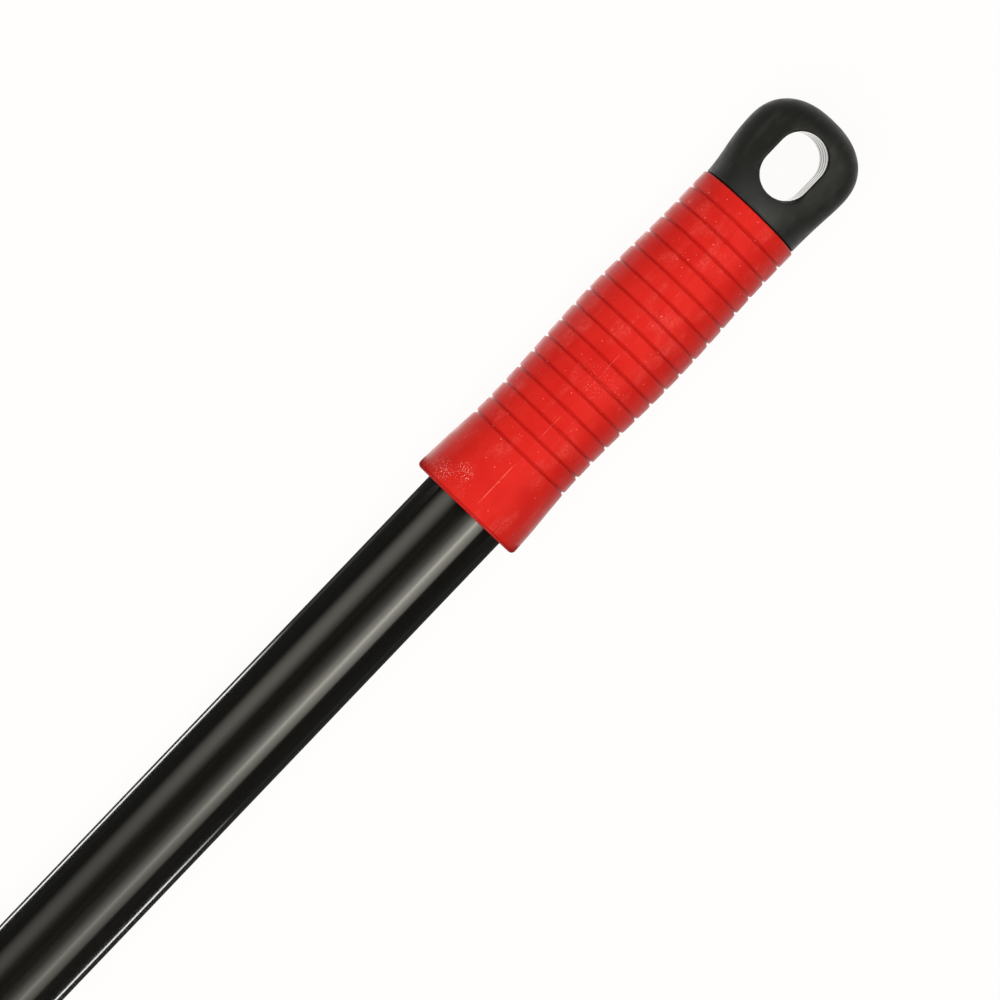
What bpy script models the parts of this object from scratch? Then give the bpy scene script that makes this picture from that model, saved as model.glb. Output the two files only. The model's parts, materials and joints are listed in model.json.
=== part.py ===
"""Telescopic snow brush with an ice scraper.

The pole lies along X with its hanging eye at +X and its scraper edge at -X. The brush lies on
its back on the plane z = 0, with its bristles up: the grip's flare and the foot of the swivel
hub both touch that plane. The origin is the middle of the bounding box's bottom face.
"""

import math

import bmesh
import bpy
from mathutils import Matrix, Vector

# ---- Driving dimensions, in metres ----
GAP = 0.0003                 # between pieces that touch on the real object

# Hanging cap, measured along the pole from its shoulder to its tip
CAP_LENGTH = 0.0319
CAP_SHOULDER_RADIUS = 0.0152
CAP_HALF_WIDTH = 0.01645
CAP_HALF_THICKNESS = 0.0100
CAP_WIDEST_AT = 0.0175
CAP_FLAT_FROM = 0.0135
CAP_EDGE_LENGTH = 0.0100     # over which the thickness closes to the tip
CAP_OUTLINE_POWER = 2.3
CAP_STEM_LENGTH = 0.028
EYE_CENTRE = 0.0155
EYE_HALF_LENGTH = 0.00968
EYE_HALF_WIDTH = 0.00687
EYE_CHAMFER = 0.0008

# Grip sleeve, measured from its flared lower end
GRIP_LENGTH = 0.1059
GRIP_WAIST_RADIUS = 0.01555
GRIP_FLARE = 0.0013
GRIP_FLARE_LENGTH = 0.026
GRIP_BELLY = 0.0009
GRIP_BELLY_CENTRE = 0.062
GRIP_BELLY_HALF_LENGTH = 0.034
GROOVE_COUNT = 16
GROOVE_FIRST = 0.0205
GROOVE_PITCH = 0.00535
GROOVE_WIDTH = 0.0008
GROOVE_DEPTH = 0.00065

# Telescopic tubes
OUTER_RADIUS = 0.0125
INNER_RADIUS = 0.0100
WALL = 0.0010
BARE_OUTER_LENGTH = 0.235    # painted tube in sight between grip and clamp
KEYWAY_HALF_WIDTH = 0.0020
KEYWAY_DEPTH = 0.0012
MOUTH_BUSH_LENGTH = 0.026
TAIL_BUSH_LENGTH = 0.032

# Clamp at the mouth of the outer tube
CLAMP_RADIUS = 0.0155
CLAMP_ON_OUTER = 0.030
CLAMP_ON_INNER = 0.028
CLAMP_PIN_RADIUS = 0.0020
CLAMP_PIN_HEIGHT = 0.0185    # above the pole's axis
CAM_RADIUS = 0.0052
CAM_OFFSET = 0.0006
EAR_INNER = 0.0063
EAR_OUTER = 0.0096
LEVER_LENGTH = 0.052

# Swivel hub, brush block, scraper
HUB_SLEEVE_RADIUS = 0.0140
HUB_SLEEVE_END = 0.060       # from the swivel axis
HUB_TUBE_STOP = 0.020
HUB_COLUMN_RADIUS = 0.0190
HUB_HEIGHT = 0.0314
BOLT_RADIUS = 0.0030
BLOCK_LENGTH = 0.240
BLOCK_HALF_WIDTH = 0.0210
BLOCK_UNDERSIDE = 0.0330
BLOCK_HEIGHT = 0.0180
BLOCK_CORNER_RADIUS = 0.014
BLOCK_TOP_EDGE = 0.0020
BLOCK_UNDER_EDGE = 0.0008
BAYS_EACH_WAY = 4
BAY_FROM_SWIVEL = 0.0235
BAY_LENGTH = 0.0215
BAY_RIB = 0.0028
BAY_SIDE_WALL = 0.0030
BAY_END_WALL = 0.0107        # clears the block's rounded corners
BAY_ROOF = 0.0085
BOLT_SEAT_RADIUS = 0.0076
BOLT_SEAT_DEPTH = 0.0060
DIMPLE_COUNT = 8
DIMPLE_CIRCLE = 0.0168
CLAMP_TO_BLOCK = 0.022
TONGUE_LENGTH = 0.025
TONGUE_BOTTOM = 0.0370
TONGUE_TOP = 0.0430
TONGUE_HALF_WIDTH = 0.0170
SCRAPER_SCREW_FROM_BLOCK = 0.012
SCRAPER_SCREW_Y = 0.010
SCRAPER_HOLE_RADIUS = 0.0020
SCRAPER_REACH = 0.062        # from the block's end to the scraping edge
SCRAPER_ROOT_HALF_WIDTH = 0.020
SCRAPER_EDGE_HALF_WIDTH = 0.052
SCRAPER_THICKNESS = 0.0035
SCRAPER_DROP = 0.0090
BREAKER_COUNT = 7
BREAKER_PITCH = 0.0085
BREAKER_WIDTH = 0.0022
BREAKER_HEIGHT = 0.0015
BREAKER_SPAN = (0.030, 0.049)

# Bristles
TUFT_PITCH = 0.0096
TUFTS_EACH_WAY = 11          # either side of the middle of a row
TUFT_BASE_RADIUS = 0.0019
TUFT_TIP_RADIUS = 0.0026
BRISTLE_LENGTH = 0.056
STRIP_HALF_WIDTH = 0.0026
STRIP_HEIGHT = 0.0010
INNER_ROW_Y = 0.0086
OUTER_ROW_Y = 0.0166
OUTER_ROW_LEAN = math.radians(9)

# ---- Places along the pole that follow from them ----
LENGTH = (CAP_LENGTH + GAP + GRIP_LENGTH + BARE_OUTER_LENGTH + CLAMP_ON_OUTER + CLAMP_ON_INNER
          + CLAMP_TO_BLOCK + BLOCK_LENGTH + SCRAPER_REACH)
X_TIP = LENGTH / 2
X_SHOULDER = X_TIP - CAP_LENGTH
X_GRIP_TOP = X_SHOULDER - GAP
X_GRIP_END = X_GRIP_TOP - GRIP_LENGTH
X_MOUTH = X_GRIP_END - BARE_OUTER_LENGTH - CLAMP_ON_OUTER
X_CLAMP_END = X_MOUTH - CLAMP_ON_INNER
X_BLOCK_REAR = X_CLAMP_END - CLAMP_TO_BLOCK
X_SWIVEL = X_BLOCK_REAR - BLOCK_LENGTH / 2
X_BLOCK_FRONT = X_SWIVEL - BLOCK_LENGTH / 2
X_PIN = X_MOUTH - 0.015
X_TAIL = X_SHOULDER - CAP_STEM_LENGTH - 0.008
Z_POLE = GRIP_WAIST_RADIUS + GRIP_FLARE
BLOCK_TOP = BLOCK_UNDERSIDE + BLOCK_HEIGHT

ROUND_STEPS = 32
SMALL_STEPS = 16

parts = bpy.data.collections.new("snow_brush_scraper")
cutters = bpy.data.collections.new("cutters")


def clear_scene():
    for obj in list(bpy.data.objects):
        bpy.data.objects.remove(obj)
    bpy.context.scene.collection.children.link(parts)
    bpy.context.scene.collection.children.link(cutters)


def material(name, colour, roughness, metallic=0.0):
    made = bpy.data.materials.new(name)
    made.use_nodes = True
    shader = made.node_tree.nodes["Principled BSDF"]
    shader.inputs["Base Color"].default_value = (*colour, 1.0)
    shader.inputs["Roughness"].default_value = roughness
    shader.inputs["Metallic"].default_value = metallic
    return made


def smoothstep(t):
    t = min(1.0, max(0.0, t))
    return t * t * (3 - 2 * t)


# ---- Modelling tools ----
def link(name, mesh, look=None):
    """A named part where look is given, and a hidden helper where it isn't."""
    obj = bpy.data.objects.new(name, mesh)
    if look is None:
        cutters.objects.link(obj)
        obj.hide_render = True
        obj.display_type = "WIRE"
        return obj
    parts.objects.link(obj)
    mesh.materials.append(look)
    return obj


def boolean(target, other, operation):
    modifier = target.modifiers.new(f"{operation.lower()}_{other.name}", "BOOLEAN")
    modifier.operation = operation
    modifier.object = other
    return target


def cut(target, *others):
    for other in others:
        boolean(target, other, "DIFFERENCE")
    return target


def join(target, *others):
    for other in others:
        boolean(target, other, "UNION")
    return target


def bevel(obj, width, segments=2, angle=math.radians(35)):
    modifier = obj.modifiers.new("rounded_edges", "BEVEL")
    modifier.width = width
    modifier.segments = segments
    modifier.limit_method = "ANGLE"
    modifier.angle_limit = angle
    return obj


def box(name, low, high, look=None):
    low, high = Vector(low), Vector(high)
    work = bmesh.new()
    size = Matrix.Diagonal((*(high - low), 1.0))
    bmesh.ops.create_cube(work, size=1.0, matrix=Matrix.Translation((low + high) / 2) @ size)
    mesh = bpy.data.meshes.new(name)
    work.to_mesh(mesh)
    work.free()
    return link(name, mesh, look)


def along(axis):
    """The turn that carries local Z to the axis named."""
    return {"X": (0, math.pi / 2, 0), "Y": (-math.pi / 2, 0, 0), "Z": (0, 0, 0)}[axis]


def cylinder(name, radius, low, high, at, axis, look=None, steps=SMALL_STEPS, top_radius=None):
    """A cylinder or cone from low to high along axis, through the point at."""
    work = bmesh.new()
    bmesh.ops.create_cone(
        work, cap_ends=True, segments=steps, radius1=radius,
        radius2=radius if top_radius is None else top_radius, depth=high - low,
        matrix=Matrix.Translation((0, 0, (high + low) / 2)))
    mesh = bpy.data.meshes.new(name)
    work.to_mesh(mesh)
    work.free()
    obj = link(name, mesh, look)
    obj.location = at
    obj.rotation_euler = along(axis)
    mesh.shade_smooth()
    mesh.set_sharp_from_angle(angle=math.radians(40))
    return obj


def turned(name, profile, at, axis, look=None, steps=ROUND_STEPS):
    """A profile of (place along axis, radius), running from the far end to the near end outside.

    A hollow profile goes back inside and closes on itself; a solid one starts and ends at radius 0.
    """
    mesh = bpy.data.meshes.new(name)
    points = [(radius, 0.0, place) for place, radius in profile]
    edges = [(i, i + 1) for i in range(len(points) - 1)]
    if profile[0][1] > 0:
        edges.append((len(points) - 1, 0))
    mesh.from_pydata(points, edges, [])
    obj = link(name, mesh, look)
    obj.location = at
    obj.rotation_euler = along(axis)
    screw = obj.modifiers.new("turn", "SCREW")
    screw.axis = "Z"
    screw.steps = screw.render_steps = steps
    screw.use_merge_vertices = True
    screw.merge_threshold = 0.00001
    screw.use_smooth_shade = True
    return obj


def loft(name, rings, look=None):
    """A skin over rings of equally many points, closed by a face at each end."""
    work = bmesh.new()
    made = [[work.verts.new(point) for point in ring] for ring in rings]
    count = len(made[0])
    for ring, after in zip(made, made[1:]):
        for i in range(count):
            j = (i + 1) % count
            work.faces.new((ring[i], ring[j], after[j], after[i]))
    work.faces.new(list(reversed(made[0])))
    work.faces.new(made[-1])
    bmesh.ops.recalc_face_normals(work, faces=work.faces)
    mesh = bpy.data.meshes.new(name)
    work.to_mesh(mesh)
    work.free()
    mesh.shade_smooth()
    mesh.set_sharp_from_angle(angle=math.radians(40))
    return link(name, mesh, look)


def rounded_rectangle(half_width, half_height, radius, arc_points=6):
    """Points (u, v) anticlockwise round a rectangle whose corners are arcs."""
    points = []
    for corner, (u_sign, v_sign) in enumerate(((1, 1), (-1, 1), (-1, -1), (1, -1))):
        for step in range(arc_points):
            angle = math.radians(90) * (corner + step / (arc_points - 1))
            points.append((u_sign * (half_width - radius) + radius * math.cos(angle),
                           v_sign * (half_height - radius) + radius * math.sin(angle)))
    return points


def prism(name, outline, low, high, look=None):
    """A flat outline of (x, y) points, from z = low to z = high."""
    curve = bpy.data.curves.new(name, "CURVE")
    curve.dimensions = "2D"
    curve.fill_mode = "BOTH"
    curve.extrude = (high - low) / 2
    spline = curve.splines.new("POLY")
    spline.points.add(len(outline) - 1)
    for point, (x, y) in zip(spline.points, outline):
        point.co = (x, y, 0.0, 1.0)
    spline.use_cyclic_u = True
    return from_curve(name, curve, (0, 0, (high + low) / 2), (0, 0, 0), look)


def from_curve(name, curve, at, turn, look=None):
    """The closed mesh of a curve, whose caps are welded on."""
    source = bpy.data.objects.new(name + "_curve", curve)
    bpy.context.scene.collection.objects.link(source)
    source.location = at
    source.rotation_euler = turn
    graph = bpy.context.evaluated_depsgraph_get()
    mesh = bpy.data.meshes.new_from_object(source.evaluated_get(graph))
    mesh.name = name
    work = bmesh.new()
    work.from_mesh(mesh)
    bmesh.ops.remove_doubles(work, verts=work.verts, dist=0.000001)
    bmesh.ops.recalc_face_normals(work, faces=work.faces)
    work.to_mesh(mesh)
    work.free()
    obj = link(name, mesh, look)
    obj.matrix_world = source.matrix_world.copy()
    bpy.data.objects.remove(source)
    return obj


# ---- Handle: cap, grip, outer tube ----
def cap_half_width(place):
    if place <= CAP_WIDEST_AT:
        growth = CAP_HALF_WIDTH - CAP_SHOULDER_RADIUS
        return CAP_SHOULDER_RADIUS + growth * smoothstep(place / CAP_WIDEST_AT)
    share = (place - CAP_WIDEST_AT) / (CAP_LENGTH - CAP_WIDEST_AT)
    return CAP_HALF_WIDTH * (1 - share ** CAP_OUTLINE_POWER) ** (1 / CAP_OUTLINE_POWER)


def cap_half_thickness(place):
    thinning = CAP_SHOULDER_RADIUS - CAP_HALF_THICKNESS
    half = CAP_SHOULDER_RADIUS - thinning * smoothstep(place / CAP_FLAT_FROM)
    share = max(0.0, (place - CAP_LENGTH + CAP_EDGE_LENGTH) / CAP_EDGE_LENGTH)
    return half * (1 - share ** CAP_OUTLINE_POWER) ** (1 / CAP_OUTLINE_POWER)


def cap_ring(place):
    """The section of the cap at a place from its shoulder: round there, flat-sided at the eye."""
    half_thickness = cap_half_thickness(place)
    corner = half_thickness * (1 - 0.35 * smoothstep(place / CAP_FLAT_FROM))
    section = rounded_rectangle(cap_half_width(place), half_thickness, corner)
    return [(X_SHOULDER + place, y, Z_POLE + z) for y, z in section]


def round_ring(x, radius):
    return [(x, y, Z_POLE + z) for y, z in rounded_rectangle(radius, radius, radius)]


def eye_ring(z, spread):
    """The eye's outline at height z, grown by spread."""
    straight = EYE_HALF_LENGTH - EYE_HALF_WIDTH
    radius = EYE_HALF_WIDTH + spread
    points = []
    for step in range(24):
        angle = 2 * math.pi * step / 24 - math.pi / 2 + math.pi / 24
        side = 1 if math.cos(angle) > 0 else -1
        points.append((X_SHOULDER + EYE_CENTRE + side * straight + radius * math.cos(angle),
                       radius * math.sin(angle), Z_POLE + z))
    return points


def make_hang_cap(look):
    stem_radius = OUTER_RADIUS - WALL - GAP
    stem_end = X_SHOULDER - CAP_STEM_LENGTH
    rings = [round_ring(stem_end, stem_radius - 0.0006), round_ring(stem_end + 0.001, stem_radius),
             round_ring(X_SHOULDER, stem_radius)]
    tip_steps = 12
    places = [0.0, 0.0035, 0.0075, 0.0105, CAP_FLAT_FROM, CAP_WIDEST_AT]
    reach = CAP_LENGTH - CAP_WIDEST_AT
    for step in range(1, tip_steps):
        places.append(CAP_WIDEST_AT + reach * math.sin(math.pi / 2 * step / tip_steps))
    rings += [cap_ring(place) for place in places]
    cap = loft("hang_cap", rings, look)
    past = CAP_HALF_THICKNESS + 0.006
    chamfer_start = CAP_HALF_THICKNESS - EYE_CHAMFER
    spread = past - chamfer_start
    eye = loft("eye_cutter", [eye_ring(-past, spread), eye_ring(-chamfer_start, 0),
                              eye_ring(chamfer_start, 0), eye_ring(past, spread)])
    hollow = cylinder("stem_cutter", 0.0088, -0.001, CAP_STEM_LENGTH - 0.003,
                      (stem_end, 0, Z_POLE), "X", steps=24)
    return cut(cap, eye, hollow)


def grip_radius(place):
    """The grip's outer radius at a place from its flared end, leaving out the grooves."""
    radius = GRIP_WAIST_RADIUS
    if place < GRIP_FLARE_LENGTH:
        radius += GRIP_FLARE * math.cos(math.pi / 2 * place / GRIP_FLARE_LENGTH) ** 2
    from_belly = abs(place - GRIP_BELLY_CENTRE) / GRIP_BELLY_HALF_LENGTH
    if from_belly < 1:
        radius += GRIP_BELLY * math.cos(math.pi / 2 * from_belly) ** 2
    return radius


def make_grip(look):
    lip = 0.0008
    bore = OUTER_RADIUS + GAP
    profile = [(GRIP_LENGTH, bore), (GRIP_LENGTH, grip_radius(GRIP_LENGTH) - lip),
               (GRIP_LENGTH - lip, grip_radius(GRIP_LENGTH))]
    for groove in reversed(range(GROOVE_COUNT)):
        middle = GROOVE_FIRST + groove * GROOVE_PITCH
        for place, depth in ((middle + GROOVE_WIDTH / 2, 0), (middle, GROOVE_DEPTH),
                             (middle - GROOVE_WIDTH / 2, 0)):
            profile.append((place, grip_radius(place) - depth))
    for place in (0.013, 0.006, 2 * lip):
        profile.append((place, grip_radius(place)))
    profile += [(lip / 2, grip_radius(0) - lip / 3), (0, grip_radius(0) - lip), (0, bore)]
    shifted = [(X_GRIP_END + place, radius) for place, radius in profile]
    return turned("grip_sleeve", shifted, (0, 0, Z_POLE), "X", look, steps=28)


def make_outer_tube(look):
    inside = OUTER_RADIUS - WALL
    profile = [(X_GRIP_TOP, OUTER_RADIUS), (X_MOUTH, OUTER_RADIUS),
               (X_MOUTH, inside), (X_GRIP_TOP, inside)]
    tube = turned("outer_tube", profile, (0, 0, Z_POLE), "X", look)
    hole = cylinder("tube_hole_cutter", 0.0021, -0.014, -0.010,
                    (X_MOUTH + 0.018, 0, Z_POLE), "Z")
    return cut(tube, hole)


# ---- Telescopic joint: bushes, clamp, lever ----
def make_mouth_bush(look):
    outside = OUTER_RADIUS - WALL - GAP
    inside = INNER_RADIUS + GAP
    flange_face = X_MOUTH - GAP
    flange_end = flange_face - 0.002
    inner_end = X_MOUTH + MOUTH_BUSH_LENGTH
    profile = [(inner_end, outside - 0.0004), (inner_end - 0.001, outside), (flange_face, outside),
               (flange_face, OUTER_RADIUS), (flange_end, OUTER_RADIUS), (flange_end, inside),
               (inner_end, inside)]
    bush = turned("mouth_bush", profile, (0, 0, Z_POLE), "X", look)
    half = KEYWAY_HALF_WIDTH - GAP
    for side, name in ((1, "left"), (-1, "right")):
        ends = sorted((side * (INNER_RADIUS - KEYWAY_DEPTH + GAP), side * (inside + 0.0004)))
        key = box(f"key_{name}", (flange_end + 0.0005, ends[0], Z_POLE - half),
                  (inner_end - 0.0005, ends[1], Z_POLE + half))
        join(bush, key)
    return bush


def make_clamp_collar(look):
    chamfer = 0.0009
    outer_bore = OUTER_RADIUS + GAP
    inner_bore = INNER_RADIUS + GAP
    step = X_MOUTH - 0.0026
    rear = X_MOUTH + CLAMP_ON_OUTER
    profile = [(rear, CLAMP_RADIUS - chamfer), (rear - chamfer, CLAMP_RADIUS),
               (X_CLAMP_END + chamfer, CLAMP_RADIUS), (X_CLAMP_END, CLAMP_RADIUS - chamfer),
               (X_CLAMP_END, inner_bore), (step, inner_bore), (step, outer_bore),
               (rear, outer_bore)]
    collar = turned("clamp_collar", profile, (0, 0, Z_POLE), "X", look)
    ears = box("ears", (X_PIN - 0.008, -EAR_OUTER, Z_POLE + 0.0118),
               (X_PIN + 0.008, EAR_OUTER, Z_POLE + 0.0232))
    bevel(ears, 0.003, segments=3)
    slot = box("lever_slot", (X_PIN - 0.014, -EAR_INNER, Z_POLE + CLAMP_RADIUS - 0.0002),
               (X_PIN + 0.014, EAR_INNER, Z_POLE + 0.030))
    pocket = box("cam_pocket", (X_PIN - 0.0072, -EAR_INNER, Z_POLE + 0.0123),
                 (X_PIN + 0.0072, EAR_INNER, Z_POLE + 0.029))
    window = box("shoe_window", (X_PIN - 0.0045, -0.0045, Z_POLE + 0.005),
                 (X_PIN + 0.0045, 0.0045, Z_POLE + 0.020))
    pin_hole = cylinder("pin_hole_cutter", CLAMP_PIN_RADIUS + GAP, -0.02, 0.02,
                        (X_PIN, 0, Z_POLE + CLAMP_PIN_HEIGHT), "Y")
    screw_at = (X_MOUTH + 0.018, 0, Z_POLE)
    screw_hole = cylinder("collar_screw_hole", 0.0021, -0.018, -0.012, screw_at, "Z")
    screw_seat = cylinder("collar_screw_seat", 0.0036, -0.018, -0.0140, screw_at, "Z")
    join(collar, ears)
    return cut(collar, slot, pocket, window, pin_hole, screw_hole, screw_seat)


def make_collar_screw(look):
    profile = [(-0.0117, 0.0), (-0.0117, 0.0018), (-0.0143, 0.0018), (-0.0143, 0.0032),
               (-0.0153, 0.0032), (-0.0160, 0.0024), (-0.0160, 0.0)]
    return turned("collar_screw", profile, (X_MOUTH + 0.018, 0, Z_POLE), "Z", look,
                  steps=SMALL_STEPS)


def make_lever_pin(look):
    shank_end = EAR_OUTER + GAP
    head_end = shank_end + 0.0010
    profile = [(head_end, 0.0), (head_end, 0.0028), (shank_end + 0.0004, 0.0034),
               (shank_end, 0.0034), (shank_end, CLAMP_PIN_RADIUS)]
    profile += [(-place, radius) for place, radius in reversed(profile)]
    return turned("lever_pin", profile, (X_PIN, 0, Z_POLE + CLAMP_PIN_HEIGHT), "Y", look,
                  steps=SMALL_STEPS)


def lever_ring(share):
    """The lever arm's section at a share of its length from the pin."""
    lift = max(0.0, (share - 0.72) / 0.28)
    middle = 0.0210 - 0.0035 * smoothstep(share / 0.65) + 0.0030 * lift ** 2
    half_width = 0.0060 + 0.0032 * smoothstep((share - 0.2) / 0.35) - 0.0012 * lift
    half_thickness = 0.0019 - 0.0006 * share
    section = rounded_rectangle(half_width, half_thickness, half_thickness * 0.8, arc_points=3)
    return [(X_PIN + share * LEVER_LENGTH, y, Z_POLE + middle + z) for y, z in section]


def make_lock_lever(look):
    pin_at = (X_PIN, 0, Z_POLE + CLAMP_PIN_HEIGHT)
    lever = cylinder("lock_lever", CAM_RADIUS, -0.0060, 0.0060,
                     (X_PIN, 0, Z_POLE + CLAMP_PIN_HEIGHT - CAM_OFFSET), "Y", look, steps=24)
    arm = loft("lever_arm", [lever_ring(step / 14) for step in range(15)])
    bore = cylinder("lever_bore", CLAMP_PIN_RADIUS + GAP, -0.02, 0.02, pin_at, "Y")
    return cut(join(lever, arm), bore)


def make_lock_shoe(look):
    top = Z_POLE + CLAMP_PIN_HEIGHT - CAM_RADIUS - CAM_OFFSET - GAP
    shoe = box("lock_shoe", (X_PIN - 0.0042, -0.0042, Z_POLE + 0.008),
               (X_PIN + 0.0042, 0.0042, top), look)
    return cut(shoe, cylinder("shoe_saddle", INNER_RADIUS + GAP, -0.01, 0.01,
                              (X_PIN, 0, Z_POLE), "X", steps=ROUND_STEPS))


# ---- Extension: inner tube, tail bush, swivel hub ----
def keyed_circle(radius, keyway_half_width, steps=ROUND_STEPS):
    """A circle with a keyway pressed into it on each side, as (u, v) points."""
    floor = radius - KEYWAY_DEPTH
    turn = math.asin(keyway_half_width / radius)
    points = []
    for side in (0.0, math.pi):
        for v in (-keyway_half_width, keyway_half_width):
            points.append((floor * math.cos(side) - v * math.sin(side),
                           floor * math.sin(side) + v * math.cos(side)))
        arc = math.pi - 2 * turn
        for step in range(steps // 2 + 1):
            angle = side + turn + arc * step / (steps // 2)
            points.append((radius * math.cos(angle), radius * math.sin(angle)))
    return points


def tube_ring(x, radius, keyway_half_width):
    return [(x, u, Z_POLE + v) for u, v in keyed_circle(radius, keyway_half_width)]


def make_inner_tube(look):
    front = X_SWIVEL + HUB_TUBE_STOP + GAP
    tube = loft("inner_tube", [tube_ring(x, INNER_RADIUS, KEYWAY_HALF_WIDTH)
                               for x in (front, X_TAIL)], look)
    past = 0.005
    bore = loft("inner_bore", [tube_ring(x, INNER_RADIUS - WALL, KEYWAY_HALF_WIDTH + WALL)
                               for x in (front - past, X_TAIL + past)])
    holes = cylinder("hub_screw_holes", 0.0020, -0.02, 0.02, (X_SWIVEL + 0.044, 0, Z_POLE), "Z")
    return cut(tube, bore, holes)


def make_tail_bush(look):
    outside = OUTER_RADIUS - WALL - GAP
    inside = INNER_RADIUS + GAP
    front = X_TAIL - TAIL_BUSH_LENGTH
    profile = [(X_TAIL + 0.003, 0.0), (X_TAIL + 0.003, outside - 0.0008),
               (X_TAIL + 0.0022, outside), (front, outside), (front, inside),
               (X_TAIL + GAP, inside), (X_TAIL + GAP, 0.0)]
    return turned("tail_bush", profile, (0, 0, Z_POLE), "X", look)


def hexagon(half_across_flats):
    """The circumradius of a hexagon of that size."""
    return half_across_flats / math.cos(math.pi / 6)


def make_swivel_hub(look):
    at = (X_SWIVEL, 0, 0)
    hub = cylinder("swivel_hub", HUB_COLUMN_RADIUS, 0.0, HUB_HEIGHT, at, "Z", look,
                   steps=ROUND_STEPS)
    bevel(hub, 0.0012)
    sleeve = cylinder("hub_sleeve", HUB_SLEEVE_RADIUS, 0.010, HUB_SLEEVE_END,
                      (X_SWIVEL, 0, Z_POLE), "X", steps=40)
    bevel(sleeve, 0.0012)
    foot = box("hub_foot", (X_SWIVEL + 0.004, -0.0115, 0.0),
               (X_SWIVEL + HUB_SLEEVE_END - 0.008, 0.0115, 0.0095))
    bevel(foot, 0.0012)
    join(hub, foot, sleeve)
    for side in (1, -1):
        bump = cylinder(f"detent_bump_{'left' if side > 0 else 'right'}", 0.0016,
                        HUB_HEIGHT - 0.002, HUB_HEIGHT + 0.0011,
                        (X_SWIVEL, side * 0.0168, 0), "Z", steps=12, top_radius=0.0009)
        join(hub, bump)
    socket = cylinder("hub_socket", INNER_RADIUS + GAP, HUB_TUBE_STOP, HUB_SLEEVE_END + 0.01,
                      (X_SWIVEL, 0, Z_POLE), "X", steps=ROUND_STEPS)
    bolt_bore = cylinder("hub_bolt_bore", BOLT_RADIUS + GAP, -0.01, 0.05, at, "Z")
    nut_pocket = cylinder("hub_nut_pocket", hexagon(0.0050 + GAP), -0.01, 0.0074, at, "Z", steps=6)
    cut(hub, socket, bolt_bore, nut_pocket)
    for index in range(6):
        angle = math.radians(60 * index + 30)
        core = cylinder(f"hub_core_{index}", 0.0031, -0.01, 0.0215,
                        (X_SWIVEL + 0.0125 * math.cos(angle), 0.0125 * math.sin(angle), 0), "Z",
                        steps=16)
        if math.cos(angle) < 0.5:
            cut(hub, core)
    for name, low, high in (("top", Z_POLE, 0.05), ("bottom", -0.01, Z_POLE)):
        cut(hub, cylinder(f"hub_screw_bore_{name}", 0.0020, low, high,
                          (X_SWIVEL + 0.044, 0, 0), "Z"))
    top_seat = cylinder("hub_screw_seat_top", 0.0036, Z_POLE + 0.0123, 0.05,
                        (X_SWIVEL + 0.044, 0, 0), "Z")
    bottom_seat = cylinder("hub_screw_seat_bottom", 0.0036, -0.01, Z_POLE - 0.0123,
                           (X_SWIVEL + 0.044, 0, 0), "Z")
    return cut(hub, top_seat, bottom_seat)


def make_pan_screw(name, at, down, shank_length, look, head_radius=0.0032, shank_radius=0.0017):
    """A pan-head screw whose head sits at a point; down is 1 where its shank runs down."""
    head = 0.0019
    profile = [(head, 0.0), (head, head_radius * 0.7), (head - 0.0007, head_radius),
               (0.0, head_radius), (0.0, shank_radius), (-shank_length, shank_radius),
               (-shank_length, 0.0)]
    if down < 0:
        profile = [(-place, radius) for place, radius in reversed(profile)]
    return turned(name, profile, at, "Z", look, steps=SMALL_STEPS)


def make_hub_screws(look):
    x = X_SWIVEL + 0.044
    seat = 0.0123 + GAP
    reach = seat - INNER_RADIUS + WALL + 0.002
    make_pan_screw("hub_screw_top", (x, 0, Z_POLE + seat), 1, reach, look)
    make_pan_screw("hub_screw_bottom", (x, 0, Z_POLE - seat), -1, reach, look)


def washer(name, inside, outside, low, high, look):
    profile = [(high, outside), (low, outside), (low, inside), (high, inside)]
    return turned(name, profile, (X_SWIVEL, 0, 0), "Z", look, steps=24)


def make_swivel_hardware(steel, nylon):
    washer("thrust_washer", BOLT_RADIUS + 0.0005, 0.0145, HUB_HEIGHT + GAP,
           BLOCK_UNDERSIDE - GAP, nylon)
    seat = BLOCK_TOP - 0.006
    washer("bolt_washer", BOLT_RADIUS + GAP, 0.0068, seat + GAP, seat + GAP + 0.001, steel)
    head_low = seat + 2 * GAP + 0.001
    bolt = cylinder("swivel_bolt", hexagon(0.0050), head_low, head_low + 0.0036,
                    (X_SWIVEL, 0, 0), "Z", steel, steps=6)
    shank = cylinder("bolt_shank", BOLT_RADIUS, 0.0012, head_low + 0.001, (X_SWIVEL, 0, 0), "Z",
                     steps=24)
    join(bolt, shank)
    nut = cylinder("swivel_nut", hexagon(0.0050), 0.0021, 0.0071, (X_SWIVEL, 0, 0), "Z", steel,
                   steps=6)
    cut(nut, cylinder("nut_bore", BOLT_RADIUS + GAP, 0.0, 0.01, (X_SWIVEL, 0, 0), "Z"))


# ---- Brush head: block, bristles, scraper ----
def block_outline(inset):
    points = rounded_rectangle(BLOCK_LENGTH / 2 - inset, BLOCK_HALF_WIDTH - inset,
                               BLOCK_CORNER_RADIUS - inset, arc_points=7)
    return [(X_SWIVEL + x, y) for x, y in points]


def block_ring(z, inset):
    return [(x, y, z) for x, y in block_outline(inset)]


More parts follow.
